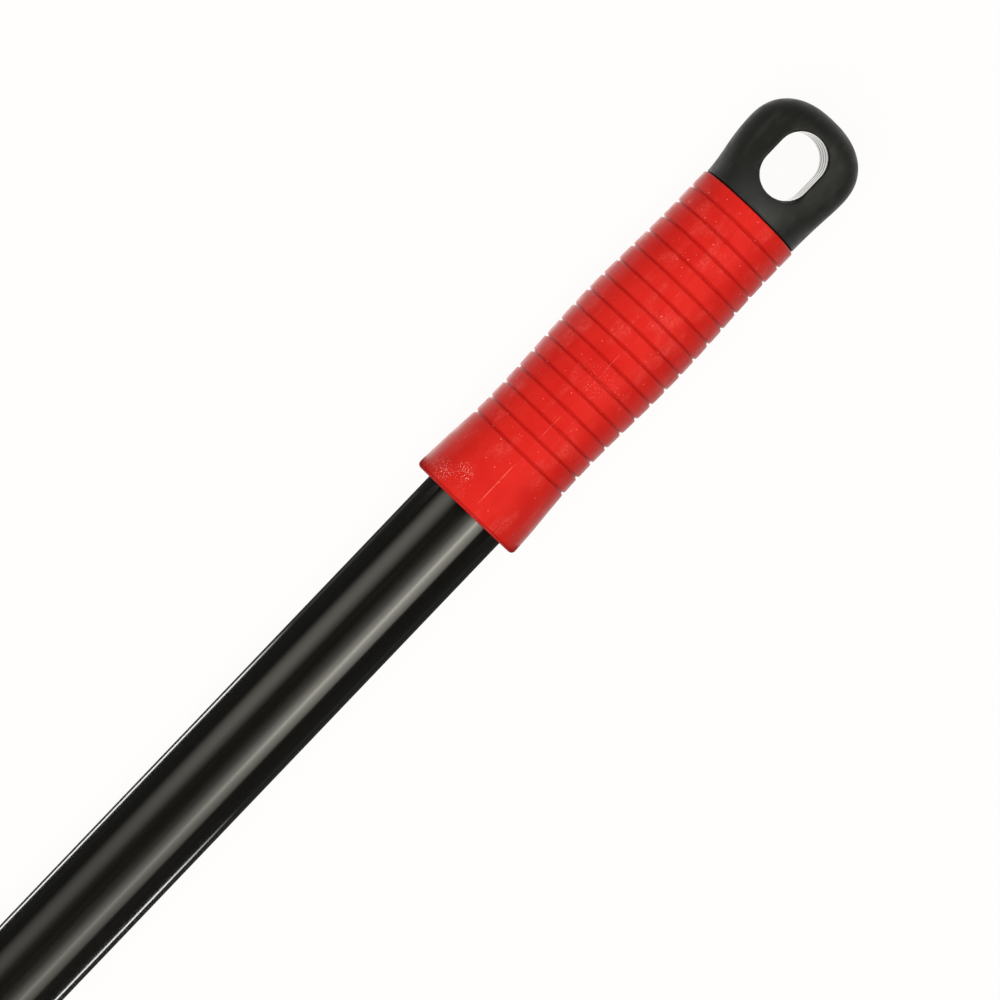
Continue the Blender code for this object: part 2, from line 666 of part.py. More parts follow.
def strip_places():
    """(name, lateral place, first tuft, last tuft, lean, shift along the row) of each strip."""
    last = TUFTS_EACH_WAY
    half = TUFT_PITCH / 2
    return (("bristle_row_centre_rear", 0.0, 2, last, 0.0, 0.0),
            ("bristle_row_centre_front", 0.0, -last, -2, 0.0, 0.0),
            ("bristle_row_inner_left", INNER_ROW_Y, -last, last - 1, 0.0, half),
            ("bristle_row_inner_right", -INNER_ROW_Y, -last, last - 1, 0.0, half),
            ("bristle_row_outer_left", OUTER_ROW_Y, -last, last, OUTER_ROW_LEAN, 0.0),
            ("bristle_row_outer_right", -OUTER_ROW_Y, -last, last, -OUTER_ROW_LEAN, 0.0))


def strip_ends(first, last, shift):
    margin = 0.0032
    return (X_SWIVEL + first * TUFT_PITCH + shift - margin,
            X_SWIVEL + last * TUFT_PITCH + shift + margin)


def make_brush_block(look):
    edge = BLOCK_TOP_EDGE
    block = loft("brush_block", [block_ring(BLOCK_UNDERSIDE, BLOCK_UNDER_EDGE),
                                 block_ring(BLOCK_UNDERSIDE + BLOCK_UNDER_EDGE, 0.0),
                                 block_ring(BLOCK_TOP - edge, 0.0),
                                 block_ring(BLOCK_TOP - edge * 0.3, edge * 0.3),
                                 block_ring(BLOCK_TOP, edge)], look)
    tongue = box("scraper_tongue",
                 (X_BLOCK_FRONT - TONGUE_LENGTH, -TONGUE_HALF_WIDTH, TONGUE_BOTTOM),
                 (X_BLOCK_FRONT + 0.008, TONGUE_HALF_WIDTH, TONGUE_TOP))
    bevel(tongue, 0.0010)
    join(block, tongue)
    bay_half_width = BLOCK_HALF_WIDTH - BAY_SIDE_WALL
    for side in (1, -1):
        for index in range(BAYS_EACH_WAY):
            near = BAY_FROM_SWIVEL + index * (BAY_LENGTH + BAY_RIB)
            far = min(near + BAY_LENGTH, BLOCK_LENGTH / 2 - BAY_END_WALL)
            ends = sorted((X_SWIVEL + side * near, X_SWIVEL + side * far))
            name = f"bay_{'rear' if side > 0 else 'front'}_{index}"
            cut(block, box(name, (ends[0], -bay_half_width, BLOCK_UNDERSIDE - 0.01),
                           (ends[1], bay_half_width, BLOCK_TOP - BAY_ROOF)))
    at = (X_SWIVEL, 0, 0)
    cut(block, cylinder("block_bolt_bore", BOLT_RADIUS + GAP, 0.0, 0.1, at, "Z"),
        cylinder("bolt_seat", BOLT_SEAT_RADIUS, BLOCK_TOP - BOLT_SEAT_DEPTH, 0.1, at, "Z",
                 steps=24))
    for index in range(DIMPLE_COUNT):
        angle = 2 * math.pi * index / DIMPLE_COUNT
        place = (X_SWIVEL + DIMPLE_CIRCLE * math.cos(angle), DIMPLE_CIRCLE * math.sin(angle), 0)
        cut(block, cylinder(f"dimple_{index}", 0.0017, BLOCK_UNDERSIDE - 0.002,
                            BLOCK_UNDERSIDE + 0.0009, place, "Z", steps=10, top_radius=0.0010))
    for name, y, first, last, _, shift in strip_places():
        low, high = strip_ends(first, last, shift)
        half = STRIP_HALF_WIDTH + GAP
        cut(block, box(f"channel_{name}", (low - GAP, y - half, BLOCK_TOP - STRIP_HEIGHT - GAP),
                       (high + GAP, y + half, BLOCK_TOP + 0.01)))
    for side in (1, -1):
        cut(block, cylinder(f"tongue_hole_{'left' if side > 0 else 'right'}",
                            SCRAPER_HOLE_RADIUS, TONGUE_BOTTOM - 0.01, TONGUE_TOP + 0.01,
                            scraper_screw_place(side, 0.0), "Z"))
    return block


def make_bristle_row(name, y, first, last, lean, shift, look):
    """A strip in its channel with one slightly spreading tuft at each place."""
    low, high = strip_ends(first, last, shift)
    bottom = BLOCK_TOP - STRIP_HEIGHT
    row = box(name, (low, y - STRIP_HALF_WIDTH, bottom), (high, y + STRIP_HALF_WIDTH, BLOCK_TOP),
              look)
    work = bmesh.new()
    for index in range(first, last + 1):
        x = X_SWIVEL + index * TUFT_PITCH + shift
        spread = math.radians(0.7) * index
        turn = Matrix.Rotation(-lean, 4, "X") @ Matrix.Rotation(spread, 4, "Y")
        place = Matrix.Translation((x, y, BLOCK_TOP - 0.0004)) @ turn
        bmesh.ops.create_cone(
            work, cap_ends=True, segments=8, radius1=TUFT_BASE_RADIUS, radius2=TUFT_TIP_RADIUS,
            depth=BRISTLE_LENGTH, matrix=place @ Matrix.Translation((0, 0, BRISTLE_LENGTH / 2)))
    mesh = bpy.data.meshes.new(name + "_tufts")
    work.to_mesh(mesh)
    work.free()
    return join(row, link(name + "_tufts", mesh))


def scraper_screw_place(side, z):
    return (X_BLOCK_FRONT - SCRAPER_SCREW_FROM_BLOCK, side * SCRAPER_SCREW_Y, z)


def scraper_middle(place):
    """Height of the blade's middle plane at a place from its root towards its edge."""
    bend_from = TONGUE_LENGTH - 0.003
    total = SCRAPER_REACH - bend_from
    root = TONGUE_TOP + GAP + SCRAPER_THICKNESS / 2
    return root - SCRAPER_DROP * max(0.0, (place - bend_from) / total) ** 1.25


def scraper_ring(place):
    flare = smoothstep((place - 0.014) / (SCRAPER_REACH - 0.020))
    width = SCRAPER_ROOT_HALF_WIDTH + flare * (SCRAPER_EDGE_HALF_WIDTH - SCRAPER_ROOT_HALF_WIDTH)
    wedge = smoothstep((place - SCRAPER_REACH + 0.012) / 0.012)
    half = SCRAPER_THICKNESS / 2 * (1 - 0.72 * wedge)
    section = rounded_rectangle(width, half, half * 0.5, arc_points=3)
    return [(X_BLOCK_FRONT - place, y, scraper_middle(place) + z) for y, z in section]


def make_scraper(look):
    stations = 18
    first = 0.0006
    span = SCRAPER_REACH - first
    rings = [scraper_ring(first + span * step / stations) for step in range(stations + 1)]
    blade = loft("scraper_blade", rings, look)
    low, high = BREAKER_SPAN
    slope = math.atan2(scraper_middle(low) - scraper_middle(high), high - low)
    length = (high - low) / math.cos(slope)
    work = bmesh.new()
    for index in range(BREAKER_COUNT):
        y = (index - (BREAKER_COUNT - 1) / 2) * BREAKER_PITCH
        middle = Vector((X_BLOCK_FRONT - (low + high) / 2, y,
                         (scraper_middle(low) + scraper_middle(high)) / 2))
        size = Matrix.Diagonal((length, BREAKER_WIDTH, SCRAPER_THICKNESS + 2 * BREAKER_HEIGHT,
                                1.0))
        turn = Matrix.Rotation(-slope, 4, "Y")
        bmesh.ops.create_cube(work, size=1.0, matrix=Matrix.Translation(middle) @ turn @ size)
    mesh = bpy.data.meshes.new("ice_breakers")
    work.to_mesh(mesh)
    work.free()
    join(blade, link("ice_breakers", mesh))
    for side in (1, -1):
        cut(blade, cylinder(f"blade_hole_{'left' if side > 0 else 'right'}",
                            SCRAPER_HOLE_RADIUS, 0.03, 0.06, scraper_screw_place(side, 0.0), "Z"))
    return blade


def make_scraper_screws(look):
    seat = TONGUE_TOP + GAP + SCRAPER_THICKNESS + GAP
    for side, name in ((1, "left"), (-1, "right")):
        make_pan_screw(f"scraper_screw_{name}", scraper_screw_place(side, seat), 1,
                       0.0085, look, head_radius=0.0036)


def main():
    clear_scene()
    black_moulding = material("black_moulding", (0.022, 0.022, 0.021), 0.45)
    red_soft = material("red_soft_pvc", (0.62, 0.015, 0.010), 0.55)
    red_moulding = material("red_moulding", (0.60, 0.012, 0.010), 0.35)
    black_paint = material("black_paint", (0.008, 0.008, 0.008), 0.25)
    bare_aluminium = material("bare_aluminium", (0.62, 0.63, 0.65), 0.35, metallic=1.0)
    white_nylon = material("white_nylon", (0.75, 0.74, 0.70), 0.45)
    zinc_steel = material("zinc_steel", (0.55, 0.56, 0.58), 0.30, metallic=1.0)
    bristle_fibre = material("bristle_fibre", (0.020, 0.020, 0.022), 0.50)
    make_hang_cap(black_moulding)
    make_grip(red_soft)
    make_outer_tube(black_paint)
    make_mouth_bush(white_nylon)
    make_clamp_collar(black_moulding)
    make_collar_screw(zinc_steel)
    make_lever_pin(zinc_steel)
    make_lock_lever(red_moulding)
    make_lock_shoe(white_nylon)
    make_inner_tube(bare_aluminium)
    make_tail_bush(white_nylon)
    make_swivel_hub(black_moulding)
    make_hub_screws(zinc_steel)
    make_swivel_hardware(zinc_steel, white_nylon)
    make_brush_block(red_moulding)
    for name, y, first, last, lean, shift in strip_places():
        make_bristle_row(name, y, first, last, lean, shift, bristle_fibre)
    make_scraper(black_moulding)
    make_scraper_screws(zinc_steel)


main()
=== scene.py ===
"""Looks of the telescopic snow brush: camera, studio, fine surfaces and materials.

The pole lies along X with its hanging eye at +X. Lengths are in metres.
"""

import json
import math

import bmesh
import bpy
import numpy as np
from mathutils import Matrix, Vector

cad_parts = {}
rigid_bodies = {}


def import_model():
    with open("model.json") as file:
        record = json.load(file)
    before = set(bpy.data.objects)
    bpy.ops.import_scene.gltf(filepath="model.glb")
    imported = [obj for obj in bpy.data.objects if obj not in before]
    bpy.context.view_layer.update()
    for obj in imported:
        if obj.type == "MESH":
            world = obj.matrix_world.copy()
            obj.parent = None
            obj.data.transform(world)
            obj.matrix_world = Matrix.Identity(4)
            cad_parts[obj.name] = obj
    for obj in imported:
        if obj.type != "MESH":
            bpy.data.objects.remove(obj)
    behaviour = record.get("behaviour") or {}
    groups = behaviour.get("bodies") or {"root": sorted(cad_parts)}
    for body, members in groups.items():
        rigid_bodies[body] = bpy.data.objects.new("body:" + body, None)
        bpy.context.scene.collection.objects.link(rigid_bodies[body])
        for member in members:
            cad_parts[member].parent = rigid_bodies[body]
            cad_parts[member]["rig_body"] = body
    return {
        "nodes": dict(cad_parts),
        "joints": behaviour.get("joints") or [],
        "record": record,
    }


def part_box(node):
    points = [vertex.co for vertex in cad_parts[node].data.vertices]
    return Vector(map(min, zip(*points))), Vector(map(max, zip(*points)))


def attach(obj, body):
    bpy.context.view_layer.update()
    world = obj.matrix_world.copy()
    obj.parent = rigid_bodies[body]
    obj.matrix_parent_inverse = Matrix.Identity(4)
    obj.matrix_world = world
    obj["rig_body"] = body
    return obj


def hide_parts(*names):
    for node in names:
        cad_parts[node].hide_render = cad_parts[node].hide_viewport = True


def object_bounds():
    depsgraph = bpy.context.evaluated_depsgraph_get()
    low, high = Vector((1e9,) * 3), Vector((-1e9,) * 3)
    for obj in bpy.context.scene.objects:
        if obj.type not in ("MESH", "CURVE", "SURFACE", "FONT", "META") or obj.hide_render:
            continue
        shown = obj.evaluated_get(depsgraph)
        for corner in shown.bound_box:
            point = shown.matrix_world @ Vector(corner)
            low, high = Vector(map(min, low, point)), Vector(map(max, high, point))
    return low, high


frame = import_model()
cad_low, cad_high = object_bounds()

MM = 0.001

# ---- Places taken from the frame ----
grip_low, grip_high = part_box("grip_sleeve")
cap_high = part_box("hang_cap")[1]
tube_low, tube_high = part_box("outer_tube")
block_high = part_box("brush_block")[1]
AXIS_Z = (grip_low.z + grip_high.z) / 2
GRIP_END = grip_low.x
GRIP_TOP = grip_high.x
GRIP_LENGTH = GRIP_TOP - GRIP_END
MOUTH = tube_low.x
SHOULDER = GRIP_TOP + 0.3 * MM        # where the cap comes out of the sleeve
JOINTS = {joint["name"]: joint for joint in frame["joints"]}
SWIVEL_X = JOINTS["brush_swivel"]["pos_m"][0]

# ---- Camera, which looks down on the grip end ----
CAMERA_DISTANCE = 1.30
CAMERA_LENS = 181.6
CAMERA_TILT = math.radians(5.0)       # towards +Y, about the pole
POLE_RISE = math.radians(46.29)       # of the pole above the frame's horizontal
AIM_FROM_GRIP_END = 8.1 * MM
AIM_ASIDE = -4.94 * MM


def added(name, data):
    """A new object in the scene."""
    made = bpy.data.objects.new(name, data)
    bpy.context.scene.collection.objects.link(made)
    return made


def make_camera():
    back = Vector((0, math.sin(CAMERA_TILT), math.cos(CAMERA_TILT)))
    along = Vector((1, 0, 0))
    across = back.cross(along)
    right = math.cos(POLE_RISE) * along - math.sin(POLE_RISE) * across
    up = math.sin(POLE_RISE) * along + math.cos(POLE_RISE) * across
    turn = Matrix((right, up, back)).transposed().to_4x4()
    aim = Vector((GRIP_END + AIM_FROM_GRIP_END, AIM_ASIDE, AXIS_Z))
    lens = bpy.data.cameras.new("camera")
    lens.lens = CAMERA_LENS
    lens.sensor_width = 36.0
    lens.clip_start = 0.01
    lens.clip_end = 50.0
    camera = added("camera", lens)
    camera.matrix_world = Matrix.Translation(aim + back * CAMERA_DISTANCE) @ turn
    bpy.context.scene.camera = camera


# ---- Sizes of the grip sleeve ----
WAIST_RADIUS = 15.55 * MM
FLARE = 1.3 * MM
FLARE_LENGTH = 26 * MM
BELLY = 0.9 * MM
BELLY_CENTRE = 62 * MM
BELLY_HALF_LENGTH = 34 * MM
GROOVE_COUNT = 16
GROOVE_FIRST = 20.5 * MM
GROOVE_PITCH = 5.35 * MM
GROOVE_DEPTH = 0.62 * MM
# How far the wall of a groove is below the band, as shares of its depth at distances in mm
GROOVE_SECTION = ((0.0, 1.0), (0.16, 1.0), (0.27, 0.86), (0.33, 0.50), (0.40, 0.26), (0.55, 0.10),
                  (0.80, 0.03), (1.15, 0.0))
LIP_RADIUS = 1.2 * MM
TOP_LIP_RADIUS = 0.5 * MM
BORE = 12.55 * MM
PARTING_HEIGHT = 0.07 * MM
PARTING_WIDTH = 0.28 * MM
SWELL = 0.03 * MM                     # of the moulding's slow unevenness
GRIP_STEP = 2.5                       # degrees between its points, which are closer at the parting

# ---- Marks on the grip sleeve, and painted shade lines in its grooves and at its lip ----
# Each line is given by the distances from its middle at which it starts and is full
# painted shade: a dark line along the middle of each groove
GROOVE_SHADE_LINE = (0.33 * MM, 0.13 * MM)
# painted shade: a dark line round the sleeve where its lower lip rounds off
LIP_SHADE_AT = 0.75 * MM               # from the sleeve's lower end
LIP_SHADE_LINE = (0.22 * MM, 0.10 * MM)
PARTING_LINE = (0.15 * MM, 0.07 * MM)
PARTING_STARTS = (3 * MM, 5 * MM)     # from the sleeve's lower end
PARTING_ENDS = (3.5 * MM, 4.5 * MM)   # before the first groove
# Patches of pale specks: distance from the end, place aside and radius in mm, and their share
SCUFFS = ((3.7, 12.2, 3.3, 0.72), (6.9, 7.9, 3.2, 0.72), (47, -1.0, 6.0, 0.16))

# ---- Sizes of the hanging cap ----
CAP_LENGTH = cap_high.x - SHOULDER
CAP_SHOULDER_RADIUS = 15.1 * MM
CAP_HALF_WIDTH = 16.45 * MM
CAP_HALF_THICKNESS = 10.0 * MM
CAP_WIDEST_AT = 18.0 * MM
CAP_FLAT_FROM = 13.5 * MM
CAP_POWER = 2.3                       # of the curves that round off its end
CAP_SQUARENESS = 0.6                  # added to a round section's power of 2
CAP_EDGE_LENGTH = 10.5 * MM
CAP_ASIDE = 0.50 * MM                 # the cap sits a little towards +Y on its stem
EYE_CENTRE = 15.6 * MM
EYE_HALF_LENGTH = 9.68 * MM
EYE_HALF_WIDTH = 6.87 * MM
EYE_FILLET = 0.5 * MM
EYE_POINTS = 96
CAP_AROUND = 128
CAP_VOXEL = 0.34 * MM
STEM_LENGTH = 7.0 * MM
STEM_RADIUS = 11.3 * MM

# ---- Marks, and a painted highlight, on the hanging cap ----
GRAIN_SIZE = 0.5 * MM
GRAIN_DEPTH = 0.012 * MM
EYE_WALL = (0.16 * MM, 0.06 * MM)     # outside the eye's outline, where its finish starts and is full
EYE_WALL_GLOSS = 0.2                  # share of the roughness left on the eye's polished wall
TOOL_MARK_PITCH = 4.6 * MM            # of the tool marks round the eye's wall
TOOL_MARK_SHIFT = 0.6 * MM            # of a mark, below the eye's middle
TOOL_MARK = (0.9 * MM, 0.4 * MM)      # from its middle, where it starts and is full
TOOL_MARK_ROUGHNESS = 0.40
# painted highlight: the middle of the cap's shoulder is made paler
SHOULDER_SHEEN_ALONG = (13 * MM, 2 * MM)        # from the sleeve, where the painted highlight on the shoulder starts and is full
SHOULDER_SHEEN_ASIDE = (12 * MM, 3 * MM)        # and from the cap's middle


# ---- Material tools ----
def map_range(tree, value, low, high, to_low=0.0, to_high=1.0, smooth=True):
    """A node that goes from to_low to to_high while value goes from low to high."""
    made = tree.nodes.new("ShaderNodeMapRange")
    made.interpolation_type = "SMOOTHSTEP" if smooth else "LINEAR"
    for name, number in (("From Min", low), ("From Max", high), ("To Min", to_low),
                         ("To Max", to_high)):
        made.inputs[name].default_value = number
    tree.links.new(value, made.inputs["Value"])
    return made


class Look:
    """A Principled material whose colour, roughness and bump come from layered noise."""

    def __init__(self, name, colour, roughness, metallic=0.0, **sockets):
        self.material = bpy.data.materials.new(name)
        self.material.use_nodes = True
        self.tree = self.material.node_tree
        self.shader = self.tree.nodes["Principled BSDF"]
        self.shader.inputs["Metallic"].default_value = metallic
        self.shader.inputs["Roughness"].default_value = roughness
        self.shader.inputs["Base Color"].default_value = (*colour, 1.0)
        for socket, value in sockets.items():
            self.shader.inputs[socket.replace("_", " ")].default_value = value
        self.place = self.node("ShaderNodeTexCoord").outputs["Object"]
        self.colour = self.rgb(colour)
        self.rough = None
        self.height = None

    def node(self, kind, **settings):
        made = self.tree.nodes.new(kind)
        for key, value in settings.items():
            setattr(made, key, value)
        return made

    def join(self, source, target):
        self.tree.links.new(source, target)

    def rgb(self, colour):
        made = self.node("ShaderNodeRGB")
        made.outputs[0].default_value = (*colour, 1.0)
        return made.outputs[0]

    def stretched(self, scale):
        """The object's own place, scaled along each axis."""
        mapping = self.node("ShaderNodeMapping")
        mapping.inputs["Scale"].default_value = scale
        self.join(self.place, mapping.inputs["Vector"])
        return mapping.outputs[0]

    def noise(self, size, detail=3.0, stretch=(1, 1, 1), rough=0.5):
        """Noise from 0 to 1 whose patches are about size across."""
        made = self.node("ShaderNodeTexNoise")
        made.inputs["Scale"].default_value = 1 / size
        made.inputs["Detail"].default_value = detail
        made.inputs["Roughness"].default_value = rough
        self.join(self.stretched(stretch), made.inputs["Vector"])
        return made.outputs["Fac"]

    def ramp(self, value, low, high, to_low=0.0, to_high=1.0):
        """Goes smoothly from to_low to to_high while value goes from low to high."""
        return map_range(self.tree, value, low, high, to_low, to_high).outputs["Result"]

    def maths(self, operation, first, second=0.0):
        made = self.node("ShaderNodeMath", operation=operation)
        for socket, value in zip(made.inputs, (first, second)):
            if isinstance(value, (int, float)):
                socket.default_value = value
            else:
                self.join(value, socket)
        return made.outputs[0]

    def part(self, axis):
        """One coordinate of the object's own place."""
        split = self.node("ShaderNodeSeparateXYZ")
        self.join(self.place, split.inputs[0])
        return split.outputs[axis]

    def tint(self, colour, share):
        """Turns the colour towards another by a share from 0 to 1."""
        mix = self.node("ShaderNodeMix", data_type="RGBA")
        self.join(share, mix.inputs["Factor"])
        self.join(self.colour, mix.inputs[6])
        mix.inputs[7].default_value = (*colour, 1.0)
        self.colour = mix.outputs[2]

    def roughen(self, value):
        """Sets the roughness, or adds value to it."""
        self.rough = value if self.rough is None else self.maths("ADD", self.rough, value)

    def relief(self, value, depth):
        """Adds value times depth to the height of the bump."""
        scaled = self.maths("MULTIPLY", value, depth)
        self.height = scaled if self.height is None else self.maths("ADD", self.height, scaled)

    def done(self):
        """Joins what has been layered to the shader, and gives the material."""
        self.join(self.colour, self.shader.inputs["Base Color"])
        if self.rough is not None:
            self.join(self.rough, self.shader.inputs["Roughness"])
        if self.height is not None:
            bump = self.node("ShaderNodeBump")
            bump.inputs["Strength"].default_value = 1.0
            bump.inputs["Distance"].default_value = 1.0
            self.join(self.height, bump.inputs["Height"])
            self.join(bump.outputs[0], self.shader.inputs["Normal"])
        return self.material


def red_soft_look():
    """Soft red PVC with painted shade lines in its grooves and at its lip, a pale parting line and
    patches of scuffs.
    """
    deeper, chalky, groove_shade_colour = (0.57, 0.013, 0.010), (0.76, 0.085, 0.070), (0.42, 0.008, 0.006)
    lip_shade_colour, in_parting = (0.30, 0.006, 0.006), (0.90, 0.16, 0.12)
    scuffed, dusty = (1.0, 0.68, 0.62), (0.95, 0.50, 0.45)
    look = Look("red_soft_pvc", (0.645, 0.020, 0.0140), 0.45, Specular_IOR_Level=0.06)
    look.tint(deeper, look.ramp(look.noise(9 * MM, 4.0), 0.42, 0.68, 0, 0.55))
    streaks = look.ramp(look.noise(5 * MM, 4.0, (0.5, 1, 1)), 0.50, 0.72)
    grain = look.ramp(look.noise(0.6 * MM, 3.0), 0.35, 0.75, 0.1, 0.6)
    look.tint(chalky, look.maths("MULTIPLY", streaks, grain))
    x, y = look.part("X"), look.part("Y")

    first = GRIP_END + GROOVE_FIRST
    # painted shade: a dark line drawn along the middle of each groove
    from_groove = look.maths("PINGPONG", look.maths("SUBTRACT", x, first), GROOVE_PITCH / 2)
    ribbed = look.ramp(x, first - 2 * MM, first - 1.5 * MM)
    groove = look.ramp(from_groove, *GROOVE_SHADE_LINE, 0, 0.8)
    look.tint(groove_shade_colour, look.maths("MULTIPLY", groove, ribbed))

    # painted shade: a dark line where the lower lip rounds off
    from_lip = look.maths("ABSOLUTE", look.maths("SUBTRACT", x, GRIP_END + LIP_SHADE_AT))
    look.tint(lip_shade_colour, look.ramp(from_lip, *LIP_SHADE_LINE, 0, 0.7))

    parting = look.ramp(look.maths("ABSOLUTE", y), *PARTING_LINE)
    started = look.ramp(x, *(GRIP_END + place for place in PARTING_STARTS))
    on_flare = look.maths("MULTIPLY", look.ramp(x, *(first - place for place in PARTING_ENDS)),
                          started)
    patchy = look.maths("MULTIPLY", look.ramp(look.noise(11 * MM, 0.0), 0.54, 0.60, 0, 0.45), ribbed)
    seen = look.maths("MAXIMUM", on_flare, patchy)
    broken = look.ramp(look.noise(1.5 * MM, 2.0), 0.3, 0.6, 0.2, 0.7)
    look.tint(in_parting, look.maths("MULTIPLY", look.maths("MULTIPLY", parting, broken), seen))

    for from_end, aside, size, share in SCUFFS:
        along = look.maths("POWER", look.maths("SUBTRACT", x, GRIP_END + from_end * MM), 2.0)
        across = look.maths("POWER", look.maths("SUBTRACT", y, aside * MM), 2.0)
        near = look.ramp(look.maths("ADD", along, across), (size * MM) ** 2, 0.0, 0, share)
        specks = look.ramp(look.noise(0.30 * MM, 1.0), 0.63, 0.68)
        look.tint(scuffed, look.maths("MULTIPLY", specks, near))
    look.tint(dusty, look.ramp(look.noise(0.60 * MM, 1.0), 0.76, 0.79, 0, 0.45))
    look.roughen(look.ramp(look.noise(4 * MM, 3.0), 0.3, 0.7, 0.28, 0.38))
    look.relief(look.noise(0.35 * MM, 2.0), 0.012 * MM)
    look.relief(look.noise(3.0 * MM, 2.0), 0.05 * MM)
    return look.done()


def moulded(name, colour, roughness, **sockets):
    """Moulded plastic with faint flow marks and small pale rubs, still without its grain."""
    look = Look(name, colour, roughness, **sockets)
    darker = tuple(channel * 0.72 for channel in colour)
    paler = tuple(min(1.0, channel * 1.15 + 0.010) for channel in colour)
    look.tint(darker, look.ramp(look.noise(14 * MM, 3.0), 0.40, 0.70, 0, 0.6))
    look.tint(paler, look.ramp(look.noise(2.4 * MM, 4.0, (0.4, 1, 1)), 0.50, 0.75, 0, 0.7))
    look.roughen(look.ramp(look.noise(3 * MM, 4.0), 0.3, 0.7, roughness - 0.05, roughness + 0.07))
    return look


def moulded_look(name, colour, roughness, **sockets):
    look = moulded(name, colour, roughness, **sockets)
    look.relief(look.noise(GRAIN_SIZE, 2.0), GRAIN_DEPTH)
    return look.done()


def cap_look():
    """Black moulding with a painted highlight on the middle of its shoulder, and tool marks on its
    eye's polished wall.
    """
    look = moulded("black_cap_polypropylene", (0.0108, 0.0110, 0.0100), 0.46,
                   Specular_IOR_Level=0.08)
    from_centre = look.maths("SUBTRACT", look.part("X"), SHOULDER + EYE_CENTRE)
    along = look.maths("SUBTRACT", look.maths("ABSOLUTE", from_centre),
                       EYE_HALF_LENGTH - EYE_HALF_WIDTH)
    along = look.maths("MAXIMUM", along, 0.0)
    aside = look.maths("SUBTRACT", look.part("Y"), CAP_ASIDE)
    away = look.maths("SQRT", look.maths("ADD", look.maths("POWER", along, 2.0),
                                         look.maths("POWER", aside, 2.0)))
    wall = look.ramp(away, *(EYE_HALF_WIDTH + spread for spread in EYE_WALL))
    look.rough = look.maths("MULTIPLY", look.rough, look.ramp(wall, 0, 1, 1.0, EYE_WALL_GLOSS))
    height = look.maths("SUBTRACT", look.part("Z"), AXIS_Z)
    mark = look.maths("PINGPONG", look.maths("ADD", height, TOOL_MARK_SHIFT), TOOL_MARK_PITCH / 2)
    marked = look.maths("MULTIPLY", look.ramp(mark, *TOOL_MARK), wall)
    look.roughen(look.ramp(marked, 0, 1, 0.0, TOOL_MARK_ROUGHNESS))
    # painted highlight: the middle of the shoulder near the sleeve is made paler
    near_sleeve = look.ramp(look.part("X"), *(SHOULDER + place for place in SHOULDER_SHEEN_ALONG))
    middle = look.ramp(look.maths("ABSOLUTE", aside), *SHOULDER_SHEEN_ASIDE, 0, 0.8)
    look.tint((0.034, 0.036, 0.034), look.maths("MULTIPLY", near_sleeve, middle))
    look.relief(look.noise(GRAIN_SIZE, 2.0), look.ramp(wall, 0, 1, GRAIN_DEPTH, 0.0))
    return look.done()


def red_abs_look():
    """Glossy moulded red with slow tone changes and fine scratches."""
    look = Look("red_abs", (0.60, 0.020, 0.015), 0.30, Specular_IOR_Level=0.4)
    look.tint((0.50, 0.013, 0.010), look.ramp(look.noise(24 * MM, 2.0), 0.35, 0.70, 0, 0.6))
    scratches = look.ramp(look.noise(0.8 * MM, 2.0, (0.04, 1, 1)), 0.66, 0.74, 0, 0.22)
    look.tint((0.70, 0.10, 0.08), scratches)
    look.roughen(look.ramp(look.noise(9 * MM, 2.0), 0.3, 0.7, 0.26, 0.38))
    look.relief(look.noise(0.6 * MM, 1.0), 0.003 * MM)
    return look.done()


def painted_tube_look():
    """Gloss black coat on a drawn tube, with faint lines along it."""
    look = Look("black_gloss_coat", (0.0062, 0.0060, 0.0050), 0.13, Specular_IOR_Level=0.5)
    look.tint((0.010, 0.0096, 0.0085), look.ramp(look.noise(2 * MM, 2.0, (0.02, 1, 1)), 0.5, 0.8))
    drawn = look.noise(0.9 * MM, 3.0, (0.006, 1, 1))
    look.roughen(look.ramp(drawn, 0.3, 0.7, 0.10, 0.17))
    look.relief(drawn, 0.004 * MM)
    look.relief(look.noise(1.4 * MM, 2.0), 0.002 * MM)
    return look.done()


def aluminium_look():
    look = Look("drawn_aluminium", (0.60, 0.61, 0.63), 0.28, metallic=1.0)
    drawn = look.noise(0.5 * MM, 4.0, (0.004, 1, 1), 0.7)
    look.tint((0.42, 0.43, 0.45), look.ramp(drawn, 0.35, 0.75, 0, 0.6))
    look.tint((0.30, 0.30, 0.31), look.ramp(look.noise(6 * MM, 5.0, (0.3, 1, 1)), 0.60, 0.78, 0, 0.4))
    look.roughen(look.ramp(drawn, 0.3, 0.7, 0.22, 0.40))
    look.relief(drawn, 0.006 * MM)
    return look.done()


def zinc_look():
    look = Look("bright_zinc", (0.56, 0.57, 0.58), 0.30, metallic=1.0)
    look.tint((0.52, 0.50, 0.42), look.ramp(look.noise(2.5 * MM, 3.0), 0.45, 0.7, 0, 0.6))
    look.tint((0.30, 0.30, 0.30), look.ramp(look.noise(0.6 * MM, 3.0), 0.58, 0.75, 0, 0.5))
    look.roughen(look.ramp(look.noise(0.8 * MM, 3.0), 0.3, 0.7, 0.22, 0.42))
    look.relief(look.noise(0.25 * MM, 2.0), 0.006 * MM)
    return look.done()


def fibre_look():
    look = Look("bristle_fibre", (0.020, 0.020, 0.022), 0.38)
    look.tint((0.060, 0.060, 0.064), look.ramp(look.noise(1.2 * MM, 2.0, (1, 1, 0.15)), 0.45, 0.75))
    paler = look.ramp(look.part("Z"), block_high.z + 40 * MM, block_high.z + 57 * MM, 0, 0.6)
    look.tint((0.085, 0.085, 0.090), paler)
    look.roughen(look.ramp(look.noise(2 * MM, 2.0), 0.3, 0.7, 0.32, 0.46))
    return look.done()


